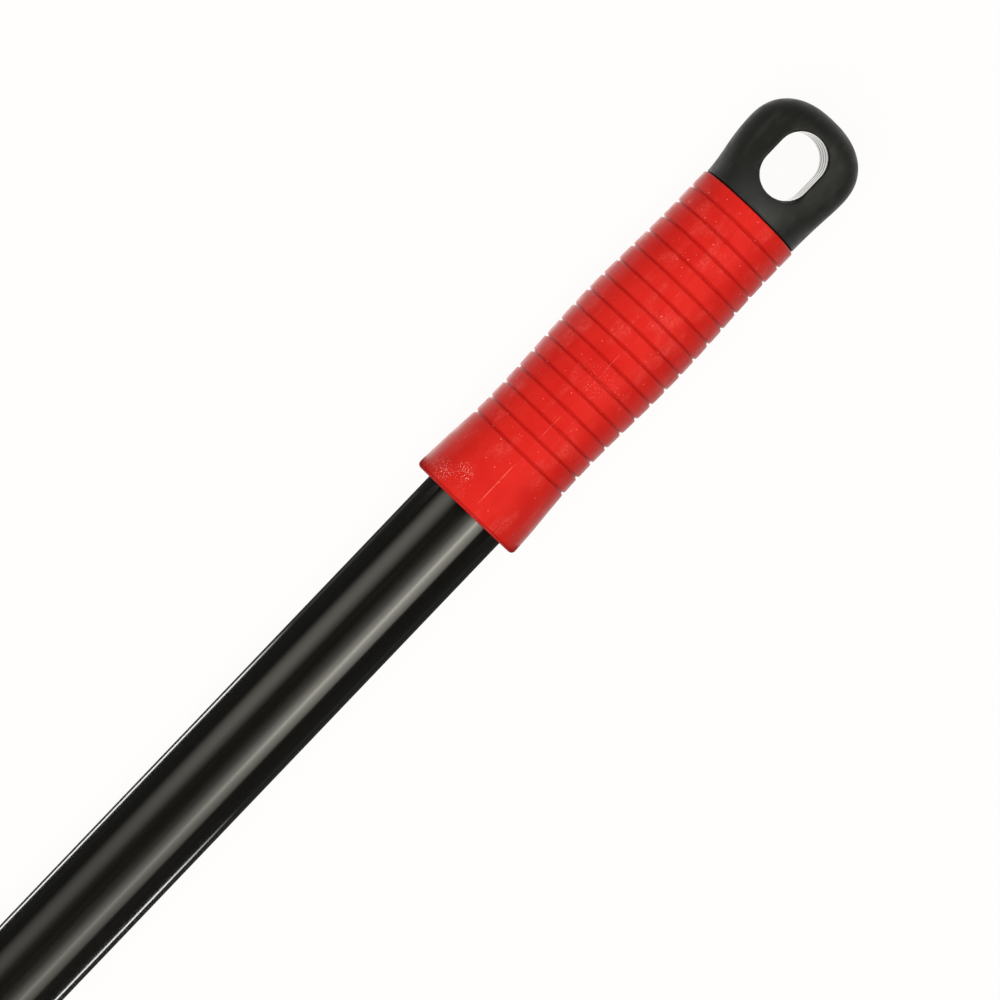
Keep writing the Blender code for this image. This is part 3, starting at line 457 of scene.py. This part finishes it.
LOOKS = {
    "red_soft": red_soft_look(),
    "black_moulding": moulded_look("black_polypropylene", (0.020, 0.020, 0.0185), 0.42,
                                   Specular_IOR_Level=0.28),
    "red_moulding": red_abs_look(),
    "black_paint": painted_tube_look(),
    "bare_aluminium": aluminium_look(),
    "white_nylon": moulded_look("white_nylon", (0.70, 0.69, 0.64), 0.42,
                                Subsurface_Weight=0.1),
    "zinc_steel": zinc_look(),
    "bristle_fibre": fibre_look(),
}
SLOT_OF = {part["node"]: part["material_slot"] for part in frame["record"]["subparts"]}


# ---- Modelling tools ----
SMOOTH_TO = 40                        # degrees between faces that still shade as one surface


def piece_from(name, points, faces, smooth_to=SMOOTH_TO):
    mesh = bpy.data.meshes.new(name)
    mesh.from_pydata([tuple(point) for point in points], [], faces)
    mesh.validate()
    mesh.update()
    mesh.shade_smooth()
    mesh.set_sharp_from_angle(angle=math.radians(smooth_to))
    return added(name, mesh)


def settle(piece, node, look=None):
    """Gives a piece its node's slot and body, and hides the node behind it."""
    slot = SLOT_OF[node]
    piece.data.materials.clear()
    piece.data.materials.append(look or LOOKS[slot])
    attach(piece, frame["nodes"][node]["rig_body"])
    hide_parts(node)
    return piece


def ring_faces(rings, around, closed=True):
    """Quads between consecutive rings of equally many points."""
    faces = []
    for ring in range(rings - (0 if closed else 1)):
        first, after = ring * around, (ring + 1) % rings * around
        for i in range(around):
            j = (i + 1) % around
            faces.append((first + i, first + j, after + j, after + i))
    return faces


def turned(name, profile, angles, wobble=None):
    """A closed (x, radius) profile turned about the pole's axis, through the given angles."""
    points = []
    for x, radius in profile:
        for angle in angles:
            grown = radius + (wobble(x, angle, radius) if wobble else 0.0)
            points.append((x, grown * math.sin(angle), AXIS_Z + grown * math.cos(angle)))
    return piece_from(name, points, ring_faces(len(profile), len(angles)))


def even_angles(count):
    return [2 * math.pi * i / count for i in range(count)]


def smoothstep(t):
    t = min(1.0, max(0.0, t))
    return t * t * (3 - 2 * t)


def arc(centre_x, centre_r, radius, start, end, steps):
    """Points (x, r) on an arc; angles in degrees from +x towards +r."""
    points = []
    for step in range(steps + 1):
        angle = math.radians(start + (end - start) * step / steps)
        points.append((centre_x + radius * math.cos(angle), centre_r + radius * math.sin(angle)))
    return points


# ---- Grip sleeve ----
def grip_radius(place):
    radius = WAIST_RADIUS
    if place < FLARE_LENGTH:
        radius += FLARE * math.cos(math.pi / 2 * place / FLARE_LENGTH) ** 2
    from_belly = abs(place - BELLY_CENTRE) / BELLY_HALF_LENGTH
    if from_belly < 1:
        radius += BELLY * math.cos(math.pi / 2 * from_belly) ** 2
    return radius


def grip_profile():
    """The sleeve's closed section, up its outside and down its bore."""
    outside = arc(LIP_RADIUS, grip_radius(LIP_RADIUS) - LIP_RADIUS, LIP_RADIUS, 180, 90, 7)
    for place in np.linspace(2 * LIP_RADIUS, GROOVE_FIRST - 1.6 * MM, 10):
        outside.append((place, grip_radius(place)))
    for groove in range(GROOVE_COUNT):
        middle = GROOVE_FIRST + groove * GROOVE_PITCH
        offsets = [(-d * MM, share) for d, share in reversed(GROOVE_SECTION[1:])]
        offsets += [(d * MM, share) for d, share in GROOVE_SECTION]
        for offset, share in offsets:
            place = middle + offset
            if place < GRIP_LENGTH - TOP_LIP_RADIUS:
                outside.append((place, grip_radius(place) - GROOVE_DEPTH * share))
        outside.append((middle + GROOVE_PITCH / 2, grip_radius(middle + GROOVE_PITCH / 2)))
    top_radius = grip_radius(GRIP_LENGTH)
    outside += arc(GRIP_LENGTH - TOP_LIP_RADIUS, top_radius - TOP_LIP_RADIUS, TOP_LIP_RADIUS,
                   90, 0, 4)
    inside = [(GRIP_LENGTH, BORE), (0.0, BORE)]
    return [(GRIP_END + place, radius) for place, radius in outside + inside]


def grip_angles():
    """Where the sleeve has points round it: evenly, and closer at its two parting lines."""
    spread = [PARTING_WIDTH / WAIST_RADIUS * share for share in
              (-2.2, -1.4, -0.9, -0.5, 0.0, 0.5, 0.9, 1.4, 2.2)]
    angles = [math.radians(a) for a in np.arange(2 * GRIP_STEP, 180 - GRIP_STEP, GRIP_STEP)]
    angles += [angle + math.pi for angle in angles]
    angles += [side + offset for side in (0, math.pi) for offset in spread]
    return sorted(angles)


def make_grip():
    def parting(x, angle, radius):
        if radius < BORE + MM:
            return 0.0
        aside = abs((angle + math.pi / 2) % math.pi - math.pi / 2) * WAIST_RADIUS
        ridge = PARTING_HEIGHT * math.exp(-(aside / PARTING_WIDTH) ** 2)
        swell = SWELL * math.sin(5 * angle + 90 * x) * math.sin(130 * x + 2 * angle)
        return ridge + swell

    return settle(turned("grip_skin", grip_profile(), grip_angles(), parting), "grip_sleeve")


# ---- Hanging cap ----
def cap_size(place):
    """Half-width, half-thickness and squareness of the cap's section at a place."""
    if place <= CAP_WIDEST_AT:
        growth = CAP_HALF_WIDTH - CAP_SHOULDER_RADIUS
        half_width = CAP_SHOULDER_RADIUS + growth * smoothstep(place / CAP_WIDEST_AT)
    else:
        share = (place - CAP_WIDEST_AT) / (CAP_LENGTH - CAP_WIDEST_AT)
        half_width = CAP_HALF_WIDTH * max(0.0, 1 - share ** CAP_POWER) ** (1 / CAP_POWER)
    thinning = CAP_SHOULDER_RADIUS - CAP_HALF_THICKNESS
    half_thickness = CAP_SHOULDER_RADIUS - thinning * smoothstep(place / CAP_FLAT_FROM)
    share = max(0.0, (place - CAP_LENGTH + CAP_EDGE_LENGTH) / CAP_EDGE_LENGTH)
    half_thickness *= max(0.0, 1 - share ** CAP_POWER) ** (1 / CAP_POWER)
    return half_width, half_thickness, 2 + CAP_SQUARENESS * smoothstep(place / CAP_FLAT_FROM)


def superellipse(half_width, half_height, power):
    """Points (y, z) of one of the cap's sections, evenly spread by angle."""
    points = []
    for angle in even_angles(CAP_AROUND):
        c, s = math.cos(angle), math.sin(angle)
        scale = (abs(c) ** power + abs(s) ** power) ** (-1 / power)
        points.append((half_width * scale * c, half_height * scale * s))
    return points


def eye_outline(spread):
    """Points (x, y) of the eye, opened out by spread."""
    straight = EYE_HALF_LENGTH - EYE_HALF_WIDTH
    radius = EYE_HALF_WIDTH + spread
    points = []
    for i in range(EYE_POINTS):
        angle = 2 * math.pi * (i + 0.5) / EYE_POINTS - math.pi / 2
        side = 1 if math.cos(angle) > 0 else -1
        points.append((SHOULDER + EYE_CENTRE + side * straight + radius * math.cos(angle),
                       CAP_ASIDE + radius * math.sin(angle)))
    return points


def loft(name, rings):
    """A solid through rings of equally many points, closed flat at both ends."""
    count = len(rings[0])
    points = [point for ring in rings for point in ring]
    faces = ring_faces(len(rings), count, closed=False)
    faces.append(tuple(reversed(range(count))))
    faces.append(tuple(range(len(points) - count, len(points))))
    piece = piece_from(name, points, faces)
    work = bmesh.new()
    work.from_mesh(piece.data)
    bmesh.ops.recalc_face_normals(work, faces=work.faces)
    work.to_mesh(piece.data)
    work.free()
    return piece


def eye_cutter():
    """The eye's tunnel, whose mouth opens out in a fillet on both faces."""
    face = CAP_HALF_THICKNESS - 0.25 * MM
    steps = 8
    levels = []
    for step in range(steps + 1):
        angle = math.pi / 2 * step / steps
        levels.append((face - EYE_FILLET + EYE_FILLET * math.sin(angle),
                       EYE_FILLET * (1 - math.cos(angle))))
    levels.append((face + 6 * MM, EYE_FILLET))
    rings = []
    for z, spread in [(-z, spread) for z, spread in reversed(levels)] + levels:
        rings.append([(x, y, AXIS_Z + z) for x, y in eye_outline(spread)])
    return loft("eye_cutter", rings)


def apply_modifiers(piece):
    """Replaces a piece's mesh by its evaluated one."""
    graph = bpy.context.evaluated_depsgraph_get()
    mesh = bpy.data.meshes.new_from_object(piece.evaluated_get(graph))
    piece.modifiers.clear()
    old = piece.data
    piece.data = mesh
    bpy.data.meshes.remove(old)
    return piece


def cap_rings():
    """The cap's sections: two of its stem, then from the shoulder to the rounded end."""
    reach = CAP_LENGTH - CAP_WIDEST_AT
    steps = 40
    places = list(np.linspace(0, CAP_WIDEST_AT, 24))
    for step in range(1, steps):
        share = math.sin(math.pi / 2 * step / steps) ** (2 / CAP_POWER)
        places.append(CAP_WIDEST_AT + reach * share)
    stem = superellipse(STEM_RADIUS, STEM_RADIUS, 2)
    rings = [[(SHOULDER + x, y, AXIS_Z + z) for y, z in stem] for x in (-STEM_LENGTH, -0.02 * MM)]
    for place in places:
        section = superellipse(*cap_size(place))
        aside = CAP_ASIDE * smoothstep(place / CAP_FLAT_FROM)
        rings.append([(SHOULDER + place, y + aside, AXIS_Z + z) for y, z in section])
    return rings


def make_cap():
    cap = loft("cap_skin", cap_rings())
    cutter = eye_cutter()
    cut = cap.modifiers.new("eye", "BOOLEAN")
    cut.object = cutter
    remesh = cap.modifiers.new("even_faces", "REMESH")
    remesh.mode = "VOXEL"
    remesh.voxel_size = CAP_VOXEL
    soften = cap.modifiers.new("soft_edges", "SMOOTH")
    soften.factor = 0.5
    soften.iterations = 4
    apply_modifiers(cap)
    bpy.data.objects.remove(cutter)
    cap.data.shade_smooth()
    return settle(cap, "hang_cap", cap_look())


# ---- Outer tube ----
TUBE_RADIUS = 12.5 * MM
TUBE_WALL = 1.0 * MM
TUBE_LIP = 0.25 * MM
TUBE_AROUND = 192


def make_outer_tube():
    """A round tube whose mouth has chamfered edges."""
    inner = TUBE_RADIUS - TUBE_WALL
    past_lip, far_end = MOUTH + TUBE_LIP, tube_high.x
    profile = [(past_lip, TUBE_RADIUS), (far_end, TUBE_RADIUS), (far_end, inner),
               (past_lip, inner), (MOUTH, inner + TUBE_LIP), (MOUTH, TUBE_RADIUS - TUBE_LIP)]
    return settle(turned("tube_skin", profile, even_angles(TUBE_AROUND)), "outer_tube")


# ---- Bristles ----
TUFT_PITCH = 9.6 * MM
TUFTS_EACH_WAY = 11
ROW_FAN = math.radians(0.7)
OUTER_ROW_LEAN = math.radians(9)
INNER_ROW_Y = 8.6 * MM
OUTER_ROW_Y = 16.6 * MM
BRISTLE_LENGTH = 56 * MM
LENGTH_SCATTER = 0.02                 # share by which a filament can be shorter
FILAMENT_RADIUS = 0.20 * MM
TIP_TAPER = 0.55                      # share of the radius left at the tip
FILAMENTS = 44                        # in a tuft
TUFT_ROOT = 1.75 * MM                 # radius of a tuft in its hole
TUFT_SPREAD = 1.9 * MM                # how far it opens at the tips
SPREAD_LEAST, SPREAD_RANGE = 0.5, 0.7
STRAY = 0.45 * MM                     # typical offset of a tip, and bend of a filament
BEND = 0.35 * MM
PATH_SHARES = (0.0, 0.35, 0.7, 1.0)   # of a filament's length, where its path has points
ROOT_DEPTH = 0.4 * MM
STRIP_HALF_WIDTH = 2.6 * MM
STRIP_MARGIN = 3.2 * MM
STRIP_DEPTH = 1.0 * MM
STRIP_EDGE = 0.3 * MM
SEED = 7
# Name, place aside, first and last tuft, lean, and shift along in tufts
ROWS = (("centre_rear", 0.0, 2, TUFTS_EACH_WAY, 0.0, 0.0),
        ("centre_front", 0.0, -TUFTS_EACH_WAY, -2, 0.0, 0.0),
        ("inner_left", INNER_ROW_Y, -TUFTS_EACH_WAY, TUFTS_EACH_WAY - 1, 0.0, 0.5),
        ("inner_right", -INNER_ROW_Y, -TUFTS_EACH_WAY, TUFTS_EACH_WAY - 1, 0.0, 0.5),
        ("outer_left", OUTER_ROW_Y, -TUFTS_EACH_WAY, TUFTS_EACH_WAY, OUTER_ROW_LEAN, 0.0),
        ("outer_right", -OUTER_ROW_Y, -TUFTS_EACH_WAY, TUFTS_EACH_WAY, -OUTER_ROW_LEAN, 0.0))


def filament(points, faces, path):
    """Adds a three-sided filament along a path, tapering a little to its tip."""
    start = len(points)
    for index, centre in enumerate(path):
        radius = FILAMENT_RADIUS * (1.0 if index < len(path) - 1 else TIP_TAPER)
        for corner in range(3):
            angle = 2 * math.pi * corner / 3
            points.append((centre[0] + radius * math.cos(angle),
                           centre[1] + radius * math.sin(angle), centre[2]))
    for ring in range(len(path) - 1):
        low, high = start + 3 * ring, start + 3 * ring + 3
        for i in range(3):
            j = (i + 1) % 3
            faces.append((low + i, low + j, high + j, high + i))
    faces.append((start + 2, start + 1, start))
    last = start + 3 * (len(path) - 1)
    faces.append((last, last + 1, last + 2))


def tuft(points, faces, root, axis, random):
    """A bundle of filaments that opens towards its tips."""
    side = axis.cross(Vector((0, 1, 0))).normalized()
    front = axis.cross(side)
    for _ in range(FILAMENTS):
        radius = TUFT_ROOT * math.sqrt(random.random())
        angle = random.random() * 2 * math.pi
        foot = side * (radius * math.cos(angle)) + front * (radius * math.sin(angle))
        opening = SPREAD_LEAST + SPREAD_RANGE * random.random()
        open_by = foot * (TUFT_SPREAD / TUFT_ROOT * opening)
        stray = side * random.normal(0, STRAY) + front * random.normal(0, STRAY)
        bend = side * random.normal(0, BEND) + front * random.normal(0, BEND)
        length = BRISTLE_LENGTH * (1 - LENGTH_SCATTER * random.random())
        path = []
        for share in PATH_SHARES:
            aside = open_by * share ** 1.5 + stray * share ** 2
            aside += bend * math.sin(math.pi * share)
            path.append(root + foot + axis * (length * share) + aside)
        filament(points, faces, path)


def make_bristle_rows():
    """Six rows of tufts, each with a carrier strip let into the block."""
    random = np.random.default_rng(SEED)
    made = []
    for name, y, first, last, lean, shift in ROWS:
        points, faces = [], []
        for index in range(first, last + 1):
            place = index + shift
            turn = Matrix.Rotation(-lean, 3, "X") @ Matrix.Rotation(ROW_FAN * index, 3, "Y")
            root = Vector((SWIVEL_X + place * TUFT_PITCH, y, block_high.z - ROOT_DEPTH))
            tuft(points, faces, root, turn @ Vector((0, 0, 1)), random)
        row = piece_from(f"bristles_{name}", points, faces, 180)
        settle(row, f"bristle_row_{name}")
        first_x = SWIVEL_X + (first + shift) * TUFT_PITCH
        last_x = SWIVEL_X + (last + shift) * TUFT_PITCH
        low = Vector((first_x - STRIP_MARGIN, y - STRIP_HALF_WIDTH, block_high.z - STRIP_DEPTH))
        high = Vector((last_x + STRIP_MARGIN, y + STRIP_HALF_WIDTH, block_high.z))
        strip = rounded_box(f"strip_{name}", low, high, STRIP_EDGE)
        strip.data.materials.append(LOOKS["black_moulding"])
        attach(strip, "head")
        made += [row, strip]
    return made


def rounded_box(name, low, high, radius):
    work = bmesh.new()
    size = Matrix.Diagonal((*(high - low), 1.0))
    bmesh.ops.create_cube(work, size=1.0, matrix=Matrix.Translation((low + high) / 2) @ size)
    bmesh.ops.bevel(work, geom=work.edges[:], offset=radius, segments=3, affect="EDGES",
                    profile=0.5)
    mesh = bpy.data.meshes.new(name)
    work.to_mesh(mesh)
    work.free()
    mesh.shade_smooth()
    mesh.set_sharp_from_angle(angle=math.radians(SMOOTH_TO))
    return added(name, mesh)


# ---- Pieces whose shape the frame already gives ----
EDGE_FROM = math.radians(32)          # between two faces, from where their edge is rounded
FLAT_WITHIN = math.radians(0.5)
SAME_POINT = 0.002 * MM


def refine(node, width):
    """A copy of a node with true flat faces and, unless width is 0, small rounded edges."""
    mesh = frame["nodes"][node].data.copy()
    work = bmesh.new()
    work.from_mesh(mesh)
    bmesh.ops.remove_doubles(work, verts=work.verts, dist=SAME_POINT)
    bmesh.ops.dissolve_limit(work, angle_limit=FLAT_WITHIN, verts=work.verts, edges=work.edges)
    work.to_mesh(mesh)
    work.free()
    mesh.shade_smooth()
    mesh.set_sharp_from_angle(angle=EDGE_FROM)
    piece = added(node + "_skin", mesh)
    if width:
        rounded = piece.modifiers.new("rounded_edges", "BEVEL")
        rounded.width = width
        rounded.segments = 2
        rounded.limit_method = "ANGLE"
        rounded.angle_limit = EDGE_FROM
        rounded.harden_normals = True
        apply_modifiers(piece)
    return settle(piece, node)


# Widths of the rounded edges in mm
REFINED = {
    "clamp_collar": 0.25, "lock_lever": 0.2, "lock_shoe": 0.15, "lever_pin": 0.1,
    "collar_screw": 0.1, "mouth_bush": 0.15, "inner_tube": 0.0, "tail_bush": 0.0,
    "swivel_hub": 0.25, "hub_screw_top": 0.1, "hub_screw_bottom": 0.1, "swivel_bolt": 0.15,
    "swivel_nut": 0.15, "bolt_washer": 0.08, "thrust_washer": 0.08, "brush_block": 0.25,
    "scraper_blade": 0.2, "scraper_screw_left": 0.1, "scraper_screw_right": 0.1,
}


# ---- Studio ----
FLOOR_HALF = 12.0
WARM_WHITE = (1.0, 0.975, 0.86)

KEY_PLACE, KEY_SIZE, KEY_WATTS = (0.12, 0.04, 1.15), (1.9, 0.72), 21.3
SIDE_X, SIDE_Y, SIDE_Z = -0.15, 0.9, 0.32
SIDE_AIM_Z = 0.05
SIDE_SIZE, SIDE_WATTS = (1.0, 0.5), 4.3

# Strips that gloss reflects from above. Angles are in degrees, and leans are towards +Y
REFLECTOR_DISTANCE = 0.60
REFLECTOR_ENDS = (-0.55, 0.95)
REFLECTOR_END_FADE = 0.15
OVER_GRIP = GRIP_END + 15 * MM
LEFT_DIMS = (GRIP_END - 0.19, GRIP_END - 0.11)
RIGHT_DIMS = (GRIP_END - 0.18, GRIP_END - 0.07)
GRIP_DIMS = (OVER_GRIP, GRIP_END + 0.06)
# Name, lean, width, radiance, fades of the -Y and +Y edges, span in which it dims towards -X,
# share that it dims to, start along X
STRIPS = (
    ("strip_left", 55, 60, 2.16, 29, 29, LEFT_DIMS, 0.60, REFLECTOR_ENDS[0]),
    ("strip_right", -29.5, 68, 2.7, 5, 44, RIGHT_DIMS, 0.55, REFLECTOR_ENDS[0]),
    ("strip_right_skirt", -37, 46, 3.4, 21, 25, RIGHT_DIMS, 0.50, REFLECTOR_ENDS[0]),
    ("strip_right_core", -38.5, 10, 5.0, 5, 5, RIGHT_DIMS, 0.35, REFLECTOR_ENDS[0]),
    ("strip_over_grip", -10, 34, 12.0, 17, 17, GRIP_DIMS, 0.0, OVER_GRIP),
)

# Cards that gloss reflects from below the floor's level
GRIP_CARD_START = GRIP_END + 3 * MM
GRIP_CARD_REACH = 0.4                 # past the object and to each side
GRIP_CARD_END = cad_high.x + GRIP_CARD_REACH
GRIP_CARD_EDGE = -8 * MM              # where the left and the right card meet
LINE_CARD_START = -0.3
LINE_CARD_END = GRIP_END - 5 * MM
# Name, low and high corners, radiance, and what fades it
CARDS = (
    ("card_grip_left", (GRIP_CARD_START, GRIP_CARD_EDGE), (GRIP_CARD_END, GRIP_CARD_REACH), 3.0,
     [("X", SHOULDER, SHOULDER + 4 * MM, 1.0, 0.5)]),
    ("card_grip_right", (GRIP_CARD_START, -GRIP_CARD_REACH), (GRIP_CARD_END, GRIP_CARD_EDGE), 1.3,
     []),
    ("card_line_left", (LINE_CARD_START, 24 * MM), (LINE_CARD_END, 29 * MM), 5.4,
     [("X", GRIP_END - 77 * MM, GRIP_END - 51 * MM, 1.0, 0.03)]),
    ("card_line_right", (LINE_CARD_START, -57 * MM), (LINE_CARD_END, -46 * MM), 9.0,
     [("X", GRIP_END - 134 * MM, GRIP_END - 98 * MM, 1.0, 0.01)]),
)

PAPER_GLOW = 1.09
PAPER_TONE = 0.30
PAPER_GLOW_SHARE = 0.88               # of what the camera sees of the paper
CAMERA_LEVEL = 0.975
FILL_LEVEL = 0.04
FLAG_LEVELS = (0.07, 0.015)           # below the horizon and overhead
FLAG_HEIGHTS = (-0.3, 0.4)            # of a direction, where those levels are reached
ENDS_LEVEL = 0.45
ENDS_FROM = (0.30, 0.75)              # of a direction along X, where the pale ends start and are full


def lamp(name, place, aim, size, energy):
    """A soft rectangular lamp that neither the camera nor gloss sees."""
    light = bpy.data.lights.new(name, "AREA")
    light.shape = "RECTANGLE"
    light.size, light.size_y = size
    light.energy = energy
    light.color = (1.0, 0.99, 0.97)
    made = added(name, light)
    made.location = place
    made.rotation_euler = (Vector(place) - Vector(aim)).to_track_quat("Z", "Y").to_euler()
    made.visible_camera = False
    made.visible_glossy = False
    return made


def side_lamps(pieces):
    """Two lamps level with the brush, which light only the given pieces."""
    lit = bpy.data.collections.new("lit_from_the_sides")
    for piece in pieces:
        lit.objects.link(piece)
    for side, y in (("left", SIDE_Y), ("right", -SIDE_Y)):
        made = lamp(f"side_{side}", (SIDE_X, y, SIDE_Z), (SIDE_X, 0, SIDE_AIM_Z), SIDE_SIZE,
                    SIDE_WATTS)
        made.light_linking.receiver_collection = lit


def glow_material(name, colour, strength, fade):
    """Emission that is added to what is behind it, and even where fade is empty.

    fade lists (axis, low, high, from, to): the strength is multiplied by a ramp along each axis.
    """
    made = bpy.data.materials.new(name)
    made.use_nodes = True
    tree = made.node_tree
    tree.nodes.clear()
    glow = tree.nodes.new("ShaderNodeEmission")
    glow.inputs["Color"].default_value = (*colour, 1.0)
    glow.inputs["Strength"].default_value = strength
    place = tree.nodes.new("ShaderNodeTexCoord").outputs["Object"]
    split = tree.nodes.new("ShaderNodeSeparateXYZ")
    tree.links.new(place, split.inputs[0])
    level = None
    for axis, *ends in fade:
        share = tree.nodes.new("ShaderNodeMath")
        share.operation = "MULTIPLY"
        ramp = map_range(tree, split.outputs[axis], *ends)
        tree.links.new(ramp.outputs[0], share.inputs[0])
        if level is None:
            share.inputs[1].default_value = strength
        else:
            tree.links.new(level, share.inputs[1])
        level = share.outputs[0]
    if fade:
        tree.links.new(level, glow.inputs["Strength"])
    out = tree.nodes.new("ShaderNodeOutputMaterial")
    clear = tree.nodes.new("ShaderNodeBsdfTransparent")
    both = tree.nodes.new("ShaderNodeAddShader")
    tree.links.new(glow.outputs[0], both.inputs[0])
    tree.links.new(clear.outputs[0], both.inputs[1])
    tree.links.new(both.outputs[0], out.inputs[0])
    made.cycles.emission_sampling = "NONE"
    return made


def only_in_gloss(piece):
    piece.visible_camera = False
    piece.visible_diffuse = False
    piece.visible_shadow = False
    piece.visible_transmission = False


def reflector(name, lean, width, radiance, soft_low, soft_high, dims, far, start):
    """A bright strip over the pole, seen only in gloss: see STRIPS."""
    def across(angle):
        return REFLECTOR_DISTANCE * math.tan(math.radians(angle))

    half = across(width / 2)
    end = REFLECTOR_ENDS[1]
    points = [(start, -half, 0), (start, half, 0), (end, half, 0), (end, -half, 0)]
    strip = piece_from(name, points, [(0, 1, 2, 3)])
    angle = math.radians(lean)
    strip.location = Vector((0, math.sin(angle), math.cos(angle))) * REFLECTOR_DISTANCE
    strip.location.z += AXIS_Z
    strip.rotation_euler = (-angle, 0, 0)
    fade = [("Y", -half, -half + across(soft_low), 0.0, 1.0),
            ("Y", half - across(soft_high), half, 1.0, 0.0),
            ("X", *dims, far, 1.0),
            ("X", start, start + REFLECTOR_END_FADE, 0.0, 1.0)]
    strip.data.materials.append(glow_material(name, WARM_WHITE, radiance, fade))
    only_in_gloss(strip)


def card(name, low, high, strength, fade):
    """A bright card just under the floor, seen only in gloss: see CARDS."""
    points = [(low[0], low[1], -MM), (high[0], low[1], -MM), (high[0], high[1], -MM),
              (low[0], high[1], -MM)]
    made = piece_from(name, points, [(0, 1, 2, 3)])
    made.data.materials.append(glow_material(name, (1.0, 0.99, 0.96), strength, fade))
    only_in_gloss(made)


def paper():
    """White paper that glows for the camera, so that what stands on it throws hardly any shadow."""
    made = bpy.data.materials.new("white_paper")
    made.use_nodes = True
    tree = made.node_tree
    tree.nodes.clear()
    glow = tree.nodes.new("ShaderNodeEmission")
    glow.inputs["Color"].default_value = (1.0, 0.991, 0.980, 1.0)
    glow.inputs["Strength"].default_value = PAPER_GLOW
    matt = tree.nodes.new("ShaderNodeBsdfDiffuse")
    matt.inputs["Color"].default_value = (PAPER_TONE, PAPER_TONE, PAPER_TONE, 1.0)
    path = tree.nodes.new("ShaderNodeLightPath")
    share = tree.nodes.new("ShaderNodeMath")
    share.operation = "MULTIPLY"
    share.inputs[1].default_value = PAPER_GLOW_SHARE
    mix = tree.nodes.new("ShaderNodeMixShader")
    out = tree.nodes.new("ShaderNodeOutputMaterial")
    tree.links.new(path.outputs["Is Camera Ray"], share.inputs[0])
    tree.links.new(share.outputs[0], mix.inputs[0])
    tree.links.new(matt.outputs[0], mix.inputs[1])
    tree.links.new(glow.outputs[0], mix.inputs[2])
    tree.links.new(mix.outputs[0], out.inputs[0])
    made.cycles.emission_sampling = "NONE"
    return made


def room():
    """White to the camera, an even fill to matt surfaces, and to gloss a dark flag across the
    pole between two pale ends."""
    world = bpy.data.worlds.new("studio")
    world.use_nodes = True
    tree = world.node_tree
    sky = tree.nodes["Background"]
    sky.inputs["Color"].default_value = (1.0, 0.995, 0.985, 1.0)
    place = tree.nodes.new("ShaderNodeTexCoord")
    split = tree.nodes.new("ShaderNodeSeparateXYZ")
    tree.links.new(place.outputs["Generated"], split.inputs[0])
    aside = tree.nodes.new("ShaderNodeMath")
    aside.operation = "ABSOLUTE"
    tree.links.new(split.outputs["X"], aside.inputs[0])
    flag = map_range(tree, split.outputs["Z"], *FLAG_HEIGHTS, *FLAG_LEVELS, smooth=False)
    level = map_range(tree, aside.outputs[0], *ENDS_FROM, to_high=ENDS_LEVEL)
    tree.links.new(flag.outputs[0], level.inputs["To Min"])
    path = tree.nodes.new("ShaderNodeLightPath")
    gloss = tree.nodes.new("ShaderNodeMix")
    gloss.inputs[2].default_value = FILL_LEVEL
    seen = tree.nodes.new("ShaderNodeMix")
    seen.inputs[3].default_value = CAMERA_LEVEL
    tree.links.new(path.outputs["Is Glossy Ray"], gloss.inputs[0])
    tree.links.new(level.outputs[0], gloss.inputs[3])
    tree.links.new(path.outputs["Is Camera Ray"], seen.inputs[0])
    tree.links.new(gloss.outputs[0], seen.inputs[2])
    tree.links.new(seen.outputs[0], sky.inputs["Strength"])
    return world


def make_studio():
    half = FLOOR_HALF
    floor = piece_from("floor", [(-half, -half, 0), (half, -half, 0), (half, half, 0),
                                 (-half, half, 0)], [(0, 1, 2, 3)])
    floor.data.materials.append(paper())
    floor.visible_glossy = False
    lamp("key", KEY_PLACE, (*KEY_PLACE[:2], 0), KEY_SIZE, KEY_WATTS)
    for strip in STRIPS:
        reflector(*strip)
    for flat in CARDS:
        card(*flat)
    bpy.context.scene.world = room()
    bpy.context.scene.view_settings.view_transform = "Standard"


make_camera()
make_studio()
make_grip()
make_cap()
make_outer_tube()
past_the_tube = make_bristle_rows()
for node, width in REFINED.items():
    past_the_tube.append(refine(node, width * MM))
side_lamps(past_the_tube)
